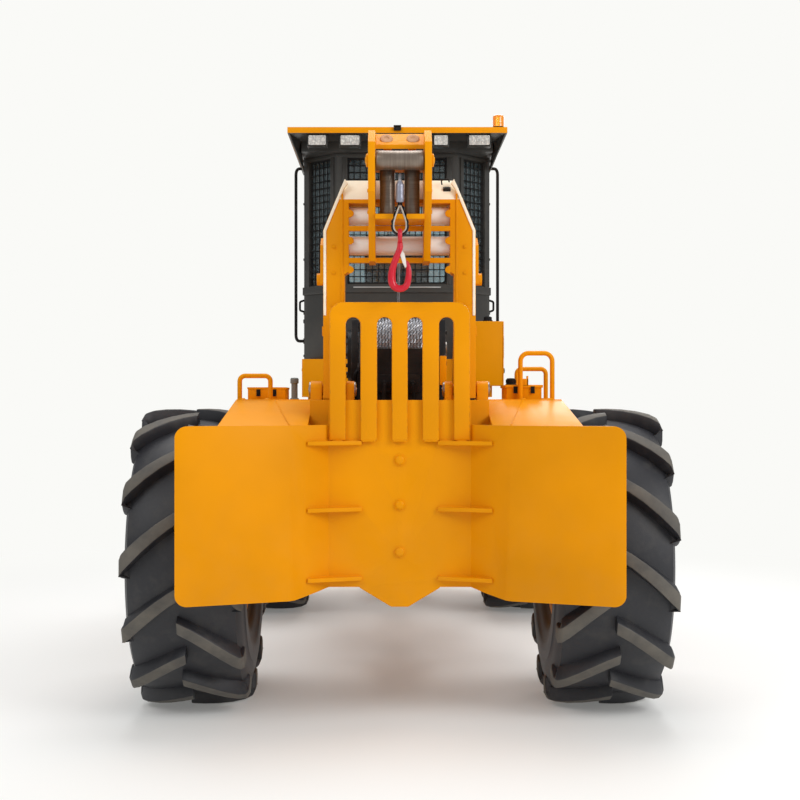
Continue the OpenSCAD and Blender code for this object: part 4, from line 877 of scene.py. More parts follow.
blue_steel = painted("blue-grey paint", (0.045, 0.06, 0.075), (0.2, 0.2, 0.2), roughness=0.35, chips=0.3,
                     dust=0.35)
valve = bmesh.new()
sweep(valve, [(-0.2, -1.66, 1.86), (-0.2, -1.66, 2.02)], 0.024, 20)
sweep(valve, [(-0.2, -1.66, 1.84), (-0.2, -1.66, 1.865)], 0.032, 20)
sweep(valve, [(-0.2, -1.66, 2.015), (-0.2, -1.66, 2.04)], 0.03, 20)
slab(valve, (-0.228, -0.172), (-1.645, -1.6), (1.87, 1.9))
slab(valve, (-0.228, -0.172), (-1.645, -1.6), (1.98, 2.01))
settle(valve, "winch-brake-cylinder", "rear", blue_steel, 0.002)
block = bmesh.new()
slab(block, (-0.12, 0.12), (-1.66, -1.611), (1.7, 1.8))
for x in (-0.08, -0.03, 0.03, 0.08):
    turned(block, (x, -1.665, 1.75), (0, -1, 0),
           [(-0.006, 0), (-0.006, 0.014), (0.008, 0.014), (0.009, 0.009), (0.02, 0.009), (0.02, 0)], 6)
settle(block, "winch-valve-block", "rear", winch_paint, 0.002)


def hose(bm, points, radius, bend):
    """A rubber hose with its crimped collars."""
    path = rounded(points, bend, 8)
    sweep(bm, path, radius, 10)
    for tip, before in ((path[0], path[1]), (path[-1], path[-2])):
        way = (before - tip).normalized()
        turned(bm, tip, way,
               [(-0.002, 0), (-0.002, radius * 1.1), (0.006, radius * 1.1), (0.007, radius * 1.5),
                (0.03, radius * 1.5), (0.033, radius * 1.15), (0.033, 0)], 12)


hose_rubber = painted("hose rubber", (0.011, 0.011, 0.012), (0.03, 0.03, 0.03), roughness=0.55, chips=0.0,
                      dust=0.45, coat=0.0)
hoses = bmesh.new()
for x, y, top in ((-0.255, -1.64, 1.8), (-0.225, -1.665, 1.84), (0.215, -1.64, 1.92), (0.24, -1.66, 1.88),
                  (0.262, -1.64, 1.84)):
    side = -1 if x < 0 else 1
    hose(hoses, [(x, y, 1.2), (x + side * 0.005, y - 0.02, 1.5), (x - side * 0.01, y - 0.01, top),
                 (x - side * 0.05, y + 0.05, top + 0.06),
                 (x - side * 0.02, y + 0.06, top + 0.02)], 0.0125, 0.03)
for x in (-0.08, -0.03, 0.03, 0.08):
    hose(hoses, [(x, -1.685, 1.75), (x, -1.72, 1.75), (x * 1.3, -1.72, 1.45), (x * 1.5, -1.64, 1.22)], 0.0105,
         0.03)
settle(hoses, "winch-hoses", "rear", hose_rubber)
box = bmesh.new()
slab(box, (0.225, 0.262), (-1.86, -1.8), (1.74, 1.9))
settle(box, "winch-control-box", "rear", yellow, 0.004)

# ---- winch drum ----
# A steel drum with flanges, wound full with wire rope in tight turns.
# The rope is six strands laid round a core; it shines where the turns rub.
rope_steel, tree, shader, spot = blank_finish("wire rope")
grease = put(tree, "TexNoise", {"Vector": spot, "Scale": 30.0, "Detail": 5.0, "Roughness": 0.6})
hue = put(tree, "MixRGB",
          {"Fac": grease.outputs["Fac"], "Color1": (0.16, 0.16, 0.18, 1), "Color2": (0.56, 0.57, 0.6, 1)})
dulled = put(tree, "MapRange", {"Value": grease.outputs["Fac"], "To Min": 0.3, "To Max": 0.55})
feed(shader, {"Base Color": hue.outputs[0], "Roughness": dulled.outputs[0], "Metallic": 0.75})


def rope(bm, path, radius, lay, ring=12):
    """Wire rope along a path: a lobed section that turns once in each lay."""
    path = [Vector(p) for p in path]
    run, rings = 0.0, []
    for i, (p, side, up) in enumerate(axes_on(path)):
        run += (p - path[i - 1]).length if i else 0
        twist = 2 * math.pi * run / lay
        row = []
        for k in range(ring):
            t = 2 * math.pi * k / ring
            r = radius * (1.0 if k % 2 else 0.8)
            row.append(bm.verts.new(p + (side * math.cos(t + twist) + up * math.sin(t + twist)) * r))
        rings.append(row)
    skin(bm, rings)
    bm.faces.new(rings[0])
    bm.faces.new(rings[-1])


drum = bmesh.new()
turned(drum, (-0.285, drum_y, drum_z), (1, 0, 0),
       [(0, 0), (0, 0.0395), (0.072, 0.0395), (0.073, 0.2), (0.0755, 0.205), (0.087, 0.205), (0.0895, 0.2),
        (0.09, 0.166),
        (0.48, 0.166), (0.4805, 0.2), (0.483, 0.205), (0.4945, 0.205), (0.497, 0.2), (0.498, 0.0395),
        (0.57, 0.0395), (0.57, 0)], 48)
drum_piece = settle(drum, "winch-drum-finished", "winch_drum", steel, angle=30)
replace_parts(drum_piece, "winch_drum")
coils = bmesh.new()
turns_wound, parts_a_turn = 20.5, 44
wraps = int(turns_wound * parts_a_turn)
coil_turns = [2 * math.pi * i / parts_a_turn for i in range(wraps + 1)]
rope(coils, [(-0.1855 + 0.371 * i / wraps, drum_y + 0.1705 * math.cos(t), drum_z + 0.1705 * math.sin(t))
             for i, t in enumerate(coil_turns)], 0.0093, 0.1)
settle(coils, "winch-drum-rope", "winch_drum", rope_steel, angle=60)

# ---- winch cable ----
# The wire rope runs from the drum over the fairlead and ends in a swaged
# ferrule and an eye. A bright steel thimble keeps the eye from chafing.
lead, lip_r, rope_r = Vector((-2.4, 2.79)), 0.06, 0.009
drum_at = Vector((drum_y, drum_z))
take_r = 0.18 + rope_r + 0.0003
run = lead - drum_at
take_turn = math.atan2(run.y, run.x) - math.acos(take_r / run.length)
take = drum_at + Vector((math.cos(take_turn), math.sin(take_turn))) * take_r
rise = math.atan2(lead.y - take.y, lead.x - take.x)
lip = lead + Vector((math.cos(rise + math.pi / 2), math.sin(rise + math.pi / 2))) * lip_r
hang_y = lip.x - lip_r
line = [take.lerp(lead, k / 60) for k in range(60)]
for k in range(25):
    turn_at = rise - math.pi / 2 + (1.5 * math.pi - rise) * k / 24
    line.append(lip + Vector((math.cos(turn_at), math.sin(turn_at))) * lip_r)
line += [Vector((hang_y, lip.y + (2.7 - lip.y) * k / 8)) for k in range(1, 9)]
cable = bmesh.new()
rope(cable, [(0, p.x, p.y) for p in line], rope_r, 0.08)
eye_line = [(0.004, 2.65), (0.014, 2.625), (0.027, 2.59), (0.0375, 2.555), (0.039, 2.529)]
for k in range(1, 8):
    turn_at = -math.pi * k / 8
    eye_line.append((0.039 * math.cos(turn_at), 2.529 + 0.039 * math.sin(turn_at)))
eye_line += [(-x, z) for x, z in reversed(eye_line[:5])]
rope(cable, rounded([(x, hang_y, z) for x, z in eye_line], 0.02, 3), 0.0072, 0.07)
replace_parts(settle(cable, "winch-cable-laid", "rear",
                   painted("rope in grease", (0.02, 0.02, 0.024), (0.3, 0.3, 0.32),
                           roughness=0.3, chips=0.9, dust=0.2, metal=0.5), angle=60), "winch_cable")
strand = bmesh.new()
rope(strand, [(0, p.x, p.y) for p in line[:-1]], rope_r * 1.01, 0.08)
settle(strand, "winch-cable-strands", "rear", rope_steel, angle=60)
collar = bmesh.new()
turned(collar, (0, hang_y, 2.757), (0, 0, -1),
       [(0, 0), (0, 0.012), (0.008, 0.0145), (0.018, 0.021), (0.03, 0.0215), (0.036, 0.0205), (0.042, 0.0215),
        (0.064, 0.0215), (0.07, 0.0205), (0.076, 0.0215),
        (0.096, 0.021), (0.106, 0.018), (0.112, 0.0)], 28)
settle(collar, "cable-ferrule", "rear",
       painted("ferrule", (0.3, 0.31, 0.38), (0.45, 0.45, 0.48), roughness=0.3, chips=0.5,
               dust=0.2, metal=0.6), angle=40)
thimble = bmesh.new()
shiny, tree, shader, spot = blank_finish("bright steel")
scuff = put(tree, "TexNoise", {"Vector": spot, "Scale": 90.0, "Detail": 5.0})
ramp = put(tree, "MixRGB",
           {"Fac": scuff.outputs["Fac"], "Color1": (0.5, 0.46, 0.4, 1), "Color2": (0.86, 0.84, 0.8, 1)})
feed(shader, {"Base Color": ramp.outputs[0], "Metallic": 0.8, "Roughness": 0.3})
for way in (-1, 1):
    rim_line = rounded([(x * 0.84, hang_y + way * 0.0075, 2.5295 + (z - 2.529) * 0.86) for x, z in eye_line],
                       0.015, 3)
    sweep(thimble, rim_line, 0.0028, 8)
sweep(thimble, rounded([(x * 0.83, hang_y, 2.5295 + (z - 2.529) * 0.85) for x, z in eye_line], 0.015, 3),
      0.0046, 8)
settle(thimble, "eye-thimble", "rear", shiny)

# ---- hook ----
# A forged choker hook painted red, with a spring latch of pale sheet steel. Its
# paint is worn to the metal where the chokers bear.
hook_red = painted("hook paint", (0.57, 0.012, 0.03), (0.16, 0.05, 0.05), roughness=0.28, chips=0.55,
                   dust=0.15, coat=0.5)
hook = bmesh.new()
hook_z = 2.4798
ring = [(0.0, hang_y + 0.0325 * math.sin(2 * math.pi * k / 28),
         hook_z + 0.0325 * math.cos(2 * math.pi * k / 28)) for k in range(29)]
sweep(hook, ring, 0.0074, 10)
for vertex in hook.verts:
    vertex.co.x *= 1.55
spine = [(0, 2.452, 0.0135), (0.001, 2.43, 0.016), (-0.004, 2.405, 0.0175), (-0.015, 2.378, 0.018),
         (-0.027, 2.35, 0.0175),
         (-0.036, 2.32, 0.0185), (-0.041, 2.288, 0.0205), (-0.0405, 2.256, 0.0215)]
for k in range(1, 9):
    a = math.pi + math.pi * k / 8
    spine.append((0.04 * math.cos(a), 2.256 + 0.0405 * math.sin(a), 0.0215 - 0.0005 * k))
spine += [(0.0435, 2.28, 0.0165), (0.0445, 2.305, 0.0148), (0.042, 2.33, 0.0125), (0.0365, 2.35, 0.0085),
          (0.034, 2.358, 0.003)]
sweep(hook, [(x, hang_y, z) for x, z, r in spine], [r for x, z, r in spine], 16, flat=0.88)
turned(hook, (-0.001, hang_y - 0.017, 2.405), (0, 1, 0),
       [(0, 0), (0, 0.009), (0.003, 0.011), (0.031, 0.011), (0.034, 0.009), (0.034, 0)], 18)
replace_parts(settle(hook, "hook-forged", "hook", hook_red, angle=60), "hook")
latch = bmesh.new()
prism(latch,
      [(-0.001, 2.405), (0.013, 2.407), (0.024, 2.388), (0.031, 2.35), (0.033, 2.325), (0.026, 2.322),
       (0.014, 2.345), (0.003, 2.378)], hang_y - 0.0085, hang_y + 0.0085, "Y")
settle(latch, "hook-latch", "hook",
       painted("latch paint", (0.78, 0.74, 0.68), (0.3, 0.2, 0.15), roughness=0.35, chips=0.3,
               dust=0.2), 0.002)

# ---- rear axle ----
# A cast axle with its differential in the middle and a planetary hub at each
# end. Its halves are joined by rings of bolts and it is filled with oil.
axle_paint = painted("axle paint", (0.02, 0.02, 0.021), (0.12, 0.09, 0.07), roughness=0.5, chips=0.5,
                     dust=0.8)
dressed("rear_axle", axle_paint, 0.006)
axle_z = 0.805
rear_axle_y, front_axle_y = -1.825, 1.475


def axle_fittings(name, body, centre_y, hub_x, pinion):
    """Bolt rings, plugs and a breather for an axle."""
    ring = [((side * 0.1405, centre_y + 0.165 * math.cos(a), axle_z + 0.165 * math.sin(a)), (side, 0, 0),
             0.011)
            for side in (-1, 1) for a in (2 * math.pi * k / 16 for k in range(16))]
    ring += [((side * (hub_x + 0.051), centre_y + 0.125 * math.cos(a), axle_z + 0.125 * math.sin(a)),
              (side, 0, 0), 0.01)
             for side in (-1, 1) for a in (2 * math.pi * k / 10 for k in range(10))]
    bolts(name + "-bolts", body, axle_paint, ring)
    extra = bmesh.new()
    turned(extra, (0.05, centre_y, 1.004), (0, 0, 1),
           [(0, 0), (0, 0.014), (0.01, 0.014), (0.011, 0.008), (0.02, 0.008), (0.024, 0.012),
            (0.03, 0)], 12)
    turned(extra, (0, centre_y - 0.195, 0.76), (0, -1, 0),
           [(0, 0), (0, 0.024), (0.008, 0.024), (0.009, 0.013), (0.016, 0.013), (0.016, 0)], 6)
    for side in (-1, 1):
        sweep(extra, rounded([(side * 0.1, centre_y + pinion * 0.1, 0.98),
                              (side * 0.2, centre_y + pinion * 0.09, 0.94),
                              (side * 0.6, centre_y + pinion * 0.07, 0.92),
                              (side * (hub_x - 0.02), centre_y + pinion * 0.1, 0.93)], 0.04), 0.005, 8)
    settle(extra, name + "-fittings", body, axle_paint, 0.001)


axle_fittings("rear-axle", "rear", rear_axle_y, 0.775, 1)

# ---- driveshaft ----
# A tubular shaft with a universal joint at each end takes the drive through
# the hinge. Four bolts clamp each bearing cross to its yoke.
dressed("driveshaft", axle_paint, 0.003)
shaft_z = 0.865
joint = bmesh.new()
for y in (-1.42, -0.33):
    for turn_at in (0, math.pi / 2):
        way = Vector((math.cos(turn_at), 0, math.sin(turn_at)))
        sweep(joint, [Vector((0, y, shaft_z)) - way * 0.055, Vector((0, y, shaft_z)) + way * 0.055], 0.017,
              16)
    turned(joint, (0, y - 0.04, shaft_z), (0, 1, 0),
           [(0, 0), (0, 0.05), (0.016, 0.05), (0.02, 0.043), (0.06, 0.043), (0.064, 0.05), (0.08, 0.05),
            (0.08, 0)], 28)
settle(joint, "driveshaft-joints", "rear", axle_paint, 0.001)

# ---- steering cylinders ----
# Two cylinders bend the machine at its hinge. Their barrels are black, with a
# screwed gland; the rods are hard chrome and run in a wiper seal.
chrome, tree, shader, spot = blank_finish("hard chrome")
film = put(tree, "TexNoise", {"Vector": spot, "Scale": 25.0, "Detail": 4.0})
sheen = put(tree, "MapRange", {"Value": film.outputs["Fac"], "To Min": 0.04, "To Max": 0.26})
feed(shader, {"Roughness": sheen.outputs[0], "Base Color": (0.78, 0.79, 0.8, 1), "Metallic": 1.0})


def cylinder_ports(bm, a, b, reach, radius):
    """Gland and hose ports of a cylinder that runs from a towards b."""
    a, b = Vector(a), Vector(b)
    way = (b - a).normalized()
    up = Vector((0, 1, 0)) if abs(way.z) > 0.8 else Vector((0, 0, 1))
    up = (up - way * up.dot(way)).normalized()
    turned(bm, a + way * (reach - 0.045), way,
           [(0, radius * 0.9), (0, radius * 1.1), (0.035, radius * 1.1), (0.04, radius * 1.03),
            (0.0445, radius * 1.03), (0.0445, radius * 0.55)], 28)
    for along in (0.13, reach - 0.09):
        turned(bm, a + way * along + up * (radius - 0.004), up,
               [(0, 0), (0, 0.014), (0.014, 0.014), (0.015, 0.009), (0.026, 0.009), (0.026, 0)], 6)


for side, word in ((-1, "left"), (1, "right")):
    dressed("steer_barrel_" + word, axle_paint, 0.002)
    dressed("steer_rod_" + word, chrome, 0.0015)
    extra = bmesh.new()
    cylinder_ports(extra, (side * 0.33, -0.815, 0.88), (side * 0.22, 0.005, 0.88), 0.54, 0.048)
    settle(extra, "steering-cylinder-ports-" + word, "steer_barrel_" + word, axle_paint, 0.001)

# ---- front frame ----
# The front half is a box of side plates, welded and painted like the rear. The
# two halves hinge on a pair of upright pins, held down by bolted covers.
dressed("front_frame", yellow, 0.004)
hinge_y = -0.175
covers = bmesh.new()
for z, way in ((1.171, 1), (0.569, -1)):
    turned(covers, (0, hinge_y, z - way * 0.004), (0, 0, way),
           [(0, 0), (0, 0.085), (0.012, 0.085), (0.015, 0.08), (0.015, 0)], 32)
settle(covers, "hinge-pin-covers", "front", yellow, 0.001)
ring = [(0.06 * math.cos(a), hinge_y + 0.06 * math.sin(a)) for a in (2 * math.pi * k / 6 for k in range(6))]
frame_bolts = [((x, y, z), (0, 0, way), 0.01) for z, way in ((1.181, 1), (0.559, -1)) for x, y in ring]
frame_bolts += [((side * 0.2905, y, z), (side, 0, 0), 0.013) for side in (-1, 1)
                for y in (1.1, 1.22, 1.74, 1.86) for z in (0.93, 1.01)]
bolts("front-frame-bolts", "front", yellow, frame_bolts)
welds = bmesh.new()
for side in (-1, 1):
    bead(welds, (side * 0.2905, 0.09, 0.643), (side * 0.2905, 0.09, 1.247), 0.005)
    bead(welds, (side * 0.2905, 2.13, 0.643), (side * 0.2905, 2.13, 1.247), 0.005)
settle(welds, "front-frame-welds", "front", yellow)

# ---- tow hitch ----
# A clevis of two plates is welded to a pad on the front plate. A drop-in pin
# goes through its bore to tow or tie down the machine.
dressed("tow_hitch", yellow, 0.003)

# ---- front axle ----
# The front axle swings about a long pin under the engine. It is the same
# casting as the rear one, filled and vented in the same way.
dressed("front_axle", axle_paint, 0.006)
axle_fittings("front-axle", "front_axle", front_axle_y, 0.68, -1)

# ---- engine ----
# The diesel engine stands closed in behind its panels with the transmission
# and its shaft behind it. Both are painted a dark grey.
engine_paint = painted("engine paint", (0.035, 0.036, 0.038), (0.15, 0.13, 0.1), roughness=0.5, chips=0.3,
                       dust=0.6)
dressed("engine", engine_paint, 0.008)

# ---- cab base ----
# The cab stands on a platform over the frame, with the batteries and the
# steps in the boxes on either side. The steps are studded plate.
dressed("cab_base", yellow, 0.004)
for side in (-1, 1):
    for z in (0.925, 1.205, 1.485):
        tread_plate("step-tread-" + str(int(z * 1000)) + ("-left" if side < 0 else "-right"), "front",
                    (side * 0.465, 0.365, z + 0.0005), 0.32, 0.2, 0.032)
base_bolts = [((side * 0.6205, y, z), (side, 0, 0), 0.009) for side in (-1, 1) for y in (0.2, 0.57)
              for z in (1.34, 1.63)]
base_bolts += [((side * 0.6335, y, 1.86), (side, 0, 0), 0.009) for side in (-1, 1) for y in (-0.2, 0.1, 0.4)]
bolts("cab-base-bolts", "front", yellow, base_bolts)
doors = bmesh.new()
for side in (-1, 1):
    slab(doors, (side * 0.62, side * 0.628), (0.215, 0.555), (1.36, 1.61))
settle(doors, "battery-box-doors", "front", yellow, 0.003)
catches = bmesh.new()
for side in (-1, 1):
    turned(catches, (side * 0.627, 0.25, 1.49), (side, 0, 0),
           [(0, 0), (0, 0.016), (0.004, 0.016), (0.006, 0.012), (0.006, 0)], 20)
    slab(catches, (side * 0.632, side * 0.637), (0.246, 0.254), (1.478, 1.502))
settle(catches, "battery-box-catches", "front", rubber_black, 0.001)

# ---- exhaust stack ----
# The silencer stands beside the cab on two brackets. Its steel is browned by
# heat, and the outlet is cut on a slant to keep the rain out.
stack_steel = painted("stack steel", (0.17, 0.13, 0.1), (0.32, 0.16, 0.07), roughness=0.5, chips=0.7,
                      dust=0.3, coat=0.0, metal=0.7)
dressed("exhaust_stack", stack_steel, 0.004)
stack_x, stack_y = 0.54, 0.965
clamps = bmesh.new()
for z in (2.27, 2.73):
    turned(clamps, (stack_x, stack_y, z - 0.012), (0, 0, 1),
           [(0, 0.05), (0, 0.0575), (0.024, 0.0575), (0.024, 0.05)], 32)
for z in (1.9, 2.8):
    turned(clamps, (stack_x, stack_y, z - 0.01), (0, 0, 1),
           [(0, 0.03), (0, 0.038), (0.02, 0.038), (0.02, 0.03)], 28)
settle(clamps, "stack-clamps", "front", steel, 0.001)
shield = bmesh.new()
for k in range(14):
    turn_at = math.radians(-60 + 240 * k / 13)
    at = (stack_x + 0.058 * math.cos(turn_at), stack_y + 0.058 * math.sin(turn_at))
    sweep(shield, [(*at, 2.3), (*at, 2.7)], 0.0028, 6)
for z in (2.3, 2.43, 2.57, 2.7):
    sweep(shield, [(stack_x + 0.058 * math.cos(a), stack_y + 0.058 * math.sin(a), z)
                   for a in (math.radians(-60 + 240 * k / 24) for k in range(25))], 0.0032, 6)
settle(shield, "stack-shield", "front", steel)

# ---- hydraulic tank ----
# The oil tank behind the cab is a welded box with a filler, a sight glass and
# a drain plug. Bolts through its flange hold it on the cab base.
dressed("hydraulic_tank", yellow, 0.006)
tank_low, tank_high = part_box("hydraulic_tank")
parts = bmesh.new()
turned(parts, (0.6, -0.365, tank_high.z - 0.001), (0, 0, 1),
       [(0, 0), (0, 0.032), (0.01, 0.032), (0.012, 0.027), (0.03, 0.027), (0.034, 0.02),
        (0.035, 0)], 24)
turned(parts, (tank_high.x - 0.001, -0.365, 1.85), (1, 0, 0),
       [(0, 0), (0, 0.018), (0.01, 0.018), (0.012, 0.012), (0.012, 0)], 6)
settle(parts, "tank-filler", "front", rubber_black, 0.001)
sight = bmesh.new()
slab(sight, (tank_high.x - 0.001, tank_high.x + 0.005), (-0.38, -0.35), (1.93, 2.08))
settle(sight, "tank-sight-glass-frame", "front", rubber_black, 0.002)
level = bmesh.new()
slab(level, (tank_high.x + 0.004, tank_high.x + 0.0065), (-0.372, -0.358), (1.945, 2.065))
settle(level, "tank-sight-glass", "front",
       painted("sight glass", (0.5, 0.42, 0.2), (0.6, 0.6, 0.5), roughness=0.08,
               chips=0.0, dust=0.2, coat=1.0), 0.001)
seams = bmesh.new()
for x in (tank_low.x + 0.004, tank_high.x - 0.004):
    bead(seams, (x, tank_low.y - 0.0005, tank_low.z + 0.01), (x, tank_low.y - 0.0005, tank_high.z - 0.01),
         0.0035)
settle(seams, "tank-seams", "front", yellow)
lines = bmesh.new()
for x in (0.49, 0.53, 0.57):
    hose(lines, [(x, -0.36, tank_low.z + 0.01), (x, -0.36, 1.68), (x * 0.7, -0.33, 1.6),
                 (x * 0.35, -0.26, 1.5), (x * 0.3, -0.22, 1.2)], 0.012, 0.06)
settle(lines, "tank-hoses", "front", hose_rubber)

# ---- hood ----
# A pressed steel hood covers the engine and tips forward on two hinges. Louvres
# in its top let the hot air out, and rubber latches hold it down.
dressed("hood", yellow, 0.008)

slats, given = scatter("louvres",
                       [("Count", "Int"), ("Pitch", "Float"), ("Length", "Float"), ("Width", "Float"),
                        ("Tilt", "Float")], "Louvres")
size = put(slats, "CombineXYZ", {"X": given.outputs["Length"], "Y": given.outputs["Width"], "Z": 0.002})
blank = put(slats, "GeometryNodeMeshCube", {"Size": size.outputs[0]})
lean = put(slats, "CombineXYZ", {"X": given.outputs["Tilt"]})
leaning = put(slats, "GeometryNodeTransform",
              {"Geometry": blank.outputs["Mesh"], "Rotation": lean.outputs[0]})
step = put(slats, "CombineXYZ", {"Y": given.outputs["Pitch"]})
row = put(slats, "GeometryNodeMeshLine", {"Count": given.outputs["Count"], "Offset": step.outputs[0]})
set_row = put(slats, "GeometryNodeInstanceOnPoints",
              {"Points": row.outputs["Mesh"], "Instance": leaning.outputs[0]})
hand_out(slats, given, set_row)


def louvres(name, body, finish, place, count, pitch, length, width=0.018, tilt=0.5):
    """A row of louvres, laid along Y from its place's origin."""
    grown(name, body, slats, {"Count": count, "Pitch": pitch, "Length": length, "Width": width,
                                    "Tilt": tilt, "Finish": finish}, place)


for side, word in ((-1, "left"), (1, "right")):
    louvres("hood-louvres-" + word, "hood", yellow,
            Matrix.Translation((side * 0.2, 1.0, 2.0585)), 10, 0.036, 0.24, 0.022, 0.35)
latch = bmesh.new()
for side in (-1, 1):
    slab(latch, (side * 0.429, side * 0.437), (1.1, 1.13), (1.775, 1.85))
    slab(latch, (side * 0.434, side * 0.444), (1.106, 1.124), (1.785, 1.8))
grip = rounded([(-0.07, 0.906, 1.9), (-0.07, 0.893, 1.9), (0.07, 0.893, 1.9), (0.07, 0.906, 1.9)], 0.008, 4)
sweep(latch, grip, 0.005, 8)
settle(latch, "hood-latches", "hood", rubber_black, 0.001)

# ---- front grille ----
# The radiator stands behind a slotted steel grille with a fine screen. Side
# panels with louvres close the engine bay and lift off for service.
cab_paint = painted("cab paint", (0.046, 0.046, 0.044), (0.14, 0.12, 0.1), roughness=0.34, chips=0.35,
                    dust=0.35, coat=0.35)
dressed("front_grille", cab_paint, 0.004)

mesh_guard, given = scatter("wire guard",
                            [("Width", "Float"), ("Height", "Float"), ("Columns", "Int"), ("Rows", "Int"),
                             ("Wire", "Float")], "Guard")
section = put(mesh_guard, "GeometryNodeCurvePrimitiveCircle",
              {"Resolution": 6, "Radius": given.outputs["Wire"]})
both_ways = put(mesh_guard, "GeometryNodeJoinGeometry")
for count, span, length, along in (("Columns", "Width", "Height", "Y"), ("Rows", "Height", "Width", "X")):
    half = put(mesh_guard, "Math", {0: given.outputs[length], 1: 0.5}, operation="MULTIPLY")
    minus = put(mesh_guard, "Math", {0: half.outputs[0], 1: -1.0}, operation="MULTIPLY")
    head_at = put(mesh_guard, "CombineXYZ", {along: half.outputs[0]})
    foot_at = put(mesh_guard, "CombineXYZ", {along: minus.outputs[0]})
    wire_line = put(mesh_guard, "GeometryNodeCurvePrimitiveLine",
                    {"Start": foot_at.outputs[0], "End": head_at.outputs[0]})
    wire_tube = put(mesh_guard, "GeometryNodeCurveToMesh",
                    {"Curve": wire_line.outputs[0], "Profile Curve": section.outputs[0], "Fill Caps": True})
    gaps = put(mesh_guard, "Math", {0: given.outputs[count], 1: 1.0}, operation="SUBTRACT")
    pitch = put(mesh_guard, "Math", {0: given.outputs[span], 1: gaps.outputs[0]}, operation="DIVIDE")
    first = put(mesh_guard, "Math", {0: given.outputs[span], 1: -0.5}, operation="MULTIPLY")
    across = "X" if along == "Y" else "Y"
    lift = put(mesh_guard, "Math", {0: given.outputs["Wire"], 1: 0.9 if along == "Y" else -0.9},
               operation="MULTIPLY")
    start = put(mesh_guard, "CombineXYZ", {across: first.outputs[0], "Z": lift.outputs[0]})
    step = put(mesh_guard, "CombineXYZ", {across: pitch.outputs[0]})
    places = put(mesh_guard, "GeometryNodeMeshLine",
                 {"Count": given.outputs[count], "Start Location": start.outputs[0],
                  "Offset": step.outputs[0]})
    laid = put(mesh_guard, "GeometryNodeInstanceOnPoints",
               {"Points": places.outputs["Mesh"], "Instance": wire_tube.outputs[0]})
    mesh_guard.links.new(laid.outputs[0], both_ways.inputs[0])
hand_out(mesh_guard, given, both_ways)


def wire_guard(name, body, finish, place, width, height, columns, rows, wire):
    """A welded grid of wires, upright ones over cross ones, in the XY plane of its place."""
    grown(name, body, mesh_guard, {"Width": width, "Height": height, "Columns": columns, "Rows": rows,
                                         "Wire": wire, "Finish": finish}, place)


upright = Matrix.Rotation(math.radians(90), 4, "X")
wire_guard("radiator-screen", "front", rubber_black,
           Matrix.Translation((0, 2.125, 1.55)) @ upright, 0.69, 0.31, 60, 27, 0.0011)
for side, word in ((-1, "left"), (1, "right")):
    stand = Matrix.Translation((side * 0.4305, 1.1, 1.58)) @ Matrix.Rotation(side * math.radians(90), 4, "Y")
    louvres("side-louvres-" + word, "front", cab_paint, stand, 16, 0.04, 0.22, 0.02, side * 0.4)
panel = bmesh.new()
for side in (-1, 1):
    for y in (1.0, 1.95):
        for z in (1.45, 1.7):
            turned(panel, (side * 0.43, y, z), (side, 0, 0),
                   [(-0.001, 0), (-0.001, 0.014), (0.003, 0.014), (0.005, 0.01), (0.005, 0)], 16)
settle(panel, "side-panel-catches", "front", rubber_black)
grille_bolts = [((side * 0.4, 2.1555, z), (0, 1, 0), 0.008) for side in (-1, 1) for z in (1.3, 1.5, 1.7)]
bolts("grille-bolts", "front", cab_paint, grille_bolts)

# ---- dozer blade ----
# A curved moldboard on two push arms, with a bolted cutting edge. Soil has
# rubbed the paint away and polished the steel along the bottom.
blade_paint = painted("blade paint", (0.8, 0.31, 0.003), (0.33, 0.3, 0.27), roughness=0.4, chips=0.9,
                      dust=0.75)
dressed("dozer_blade", blade_paint, 0.005)
low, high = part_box("dozer_blade")
edge = bmesh.new()
for k in range(3):
    x = (-1.148 + k * 0.767, -1.148 + (k + 1) * 0.767 - 0.004)
    slab(edge, x, (high.y - 0.044, high.y - 0.001), (low.z + 0.0005, low.z + 0.032))
settle(edge, "cutting-edge", "blade", steel, 0.003)
edge_bolts = [((-1.05 + 0.21 * k, high.y - 0.042, low.z + 0.016), (0, -1, 0), 0.009) for k in range(11)]
bolts("cutting-edge-bolts", "blade", steel, edge_bolts)
welds = bmesh.new()
for side in (-1, 1):
    for x in (0.345, 0.385, 0.78, 0.82):
        bead(welds, (side * x, high.y - 0.298, low.z + 0.045), (side * x, high.y - 0.298, low.z + 0.23),
             0.004)
settle(welds, "blade-welds", "blade", blade_paint)

# ---- blade cylinders ----
# A pair of cylinders lifts the blade. They are built like the steering ones,
# black barrels with a screwed gland and hard chrome rods.
dressed("blade_barrels", axle_paint, 0.002)
dressed("blade_rods", chrome, 0.0015)
extra = bmesh.new()
for side in (-1, 1):
    cylinder_ports(extra, (side * 0.21, 2.215, 1.4), (side * 0.21, 2.375, 0.56), 0.47, 0.045)
settle(extra, "blade-cylinder-ports", "blade_barrels", axle_paint, 0.001)

# ---- cab shell ----
# The cab is a welded frame of folded sheet with a window in every face. Rubber
# profiles hold the panes, and foam panels line the wall and roof inside.
dressed("cab_shell", cab_paint, 0.004)
cab_back = -0.3
cab_floor = 1.9305
corner_place = {
    side: Matrix.Translation((side * 0.5165, -0.185, 0)) @ Matrix.Rotation(side * math.radians(45), 4, "Z")
    for side in (-1, 1)}
plan = [(0.633, -0.02), (0.633, -0.07), (0.4, -0.3)]
plan = plan + [(-x, y) for x, y in reversed(plan)]
proud = [(0.643, -0.02), (0.643, -0.0745), (0.4045, -0.31)]
proud = proud + [(-x, y) for x, y in reversed(proud)]
frames = bmesh.new()
prism(frames, proud + plan[::-1], 2.372, 2.424, "Z")
prism(frames, proud + plan[::-1], 3.276, 3.298, "Z")
for a, b in ((-0.362, -0.332), (0.332, 0.362)):
    slab(frames, (a, b), (cab_back - 0.009, cab_back), (2.424, 3.276))
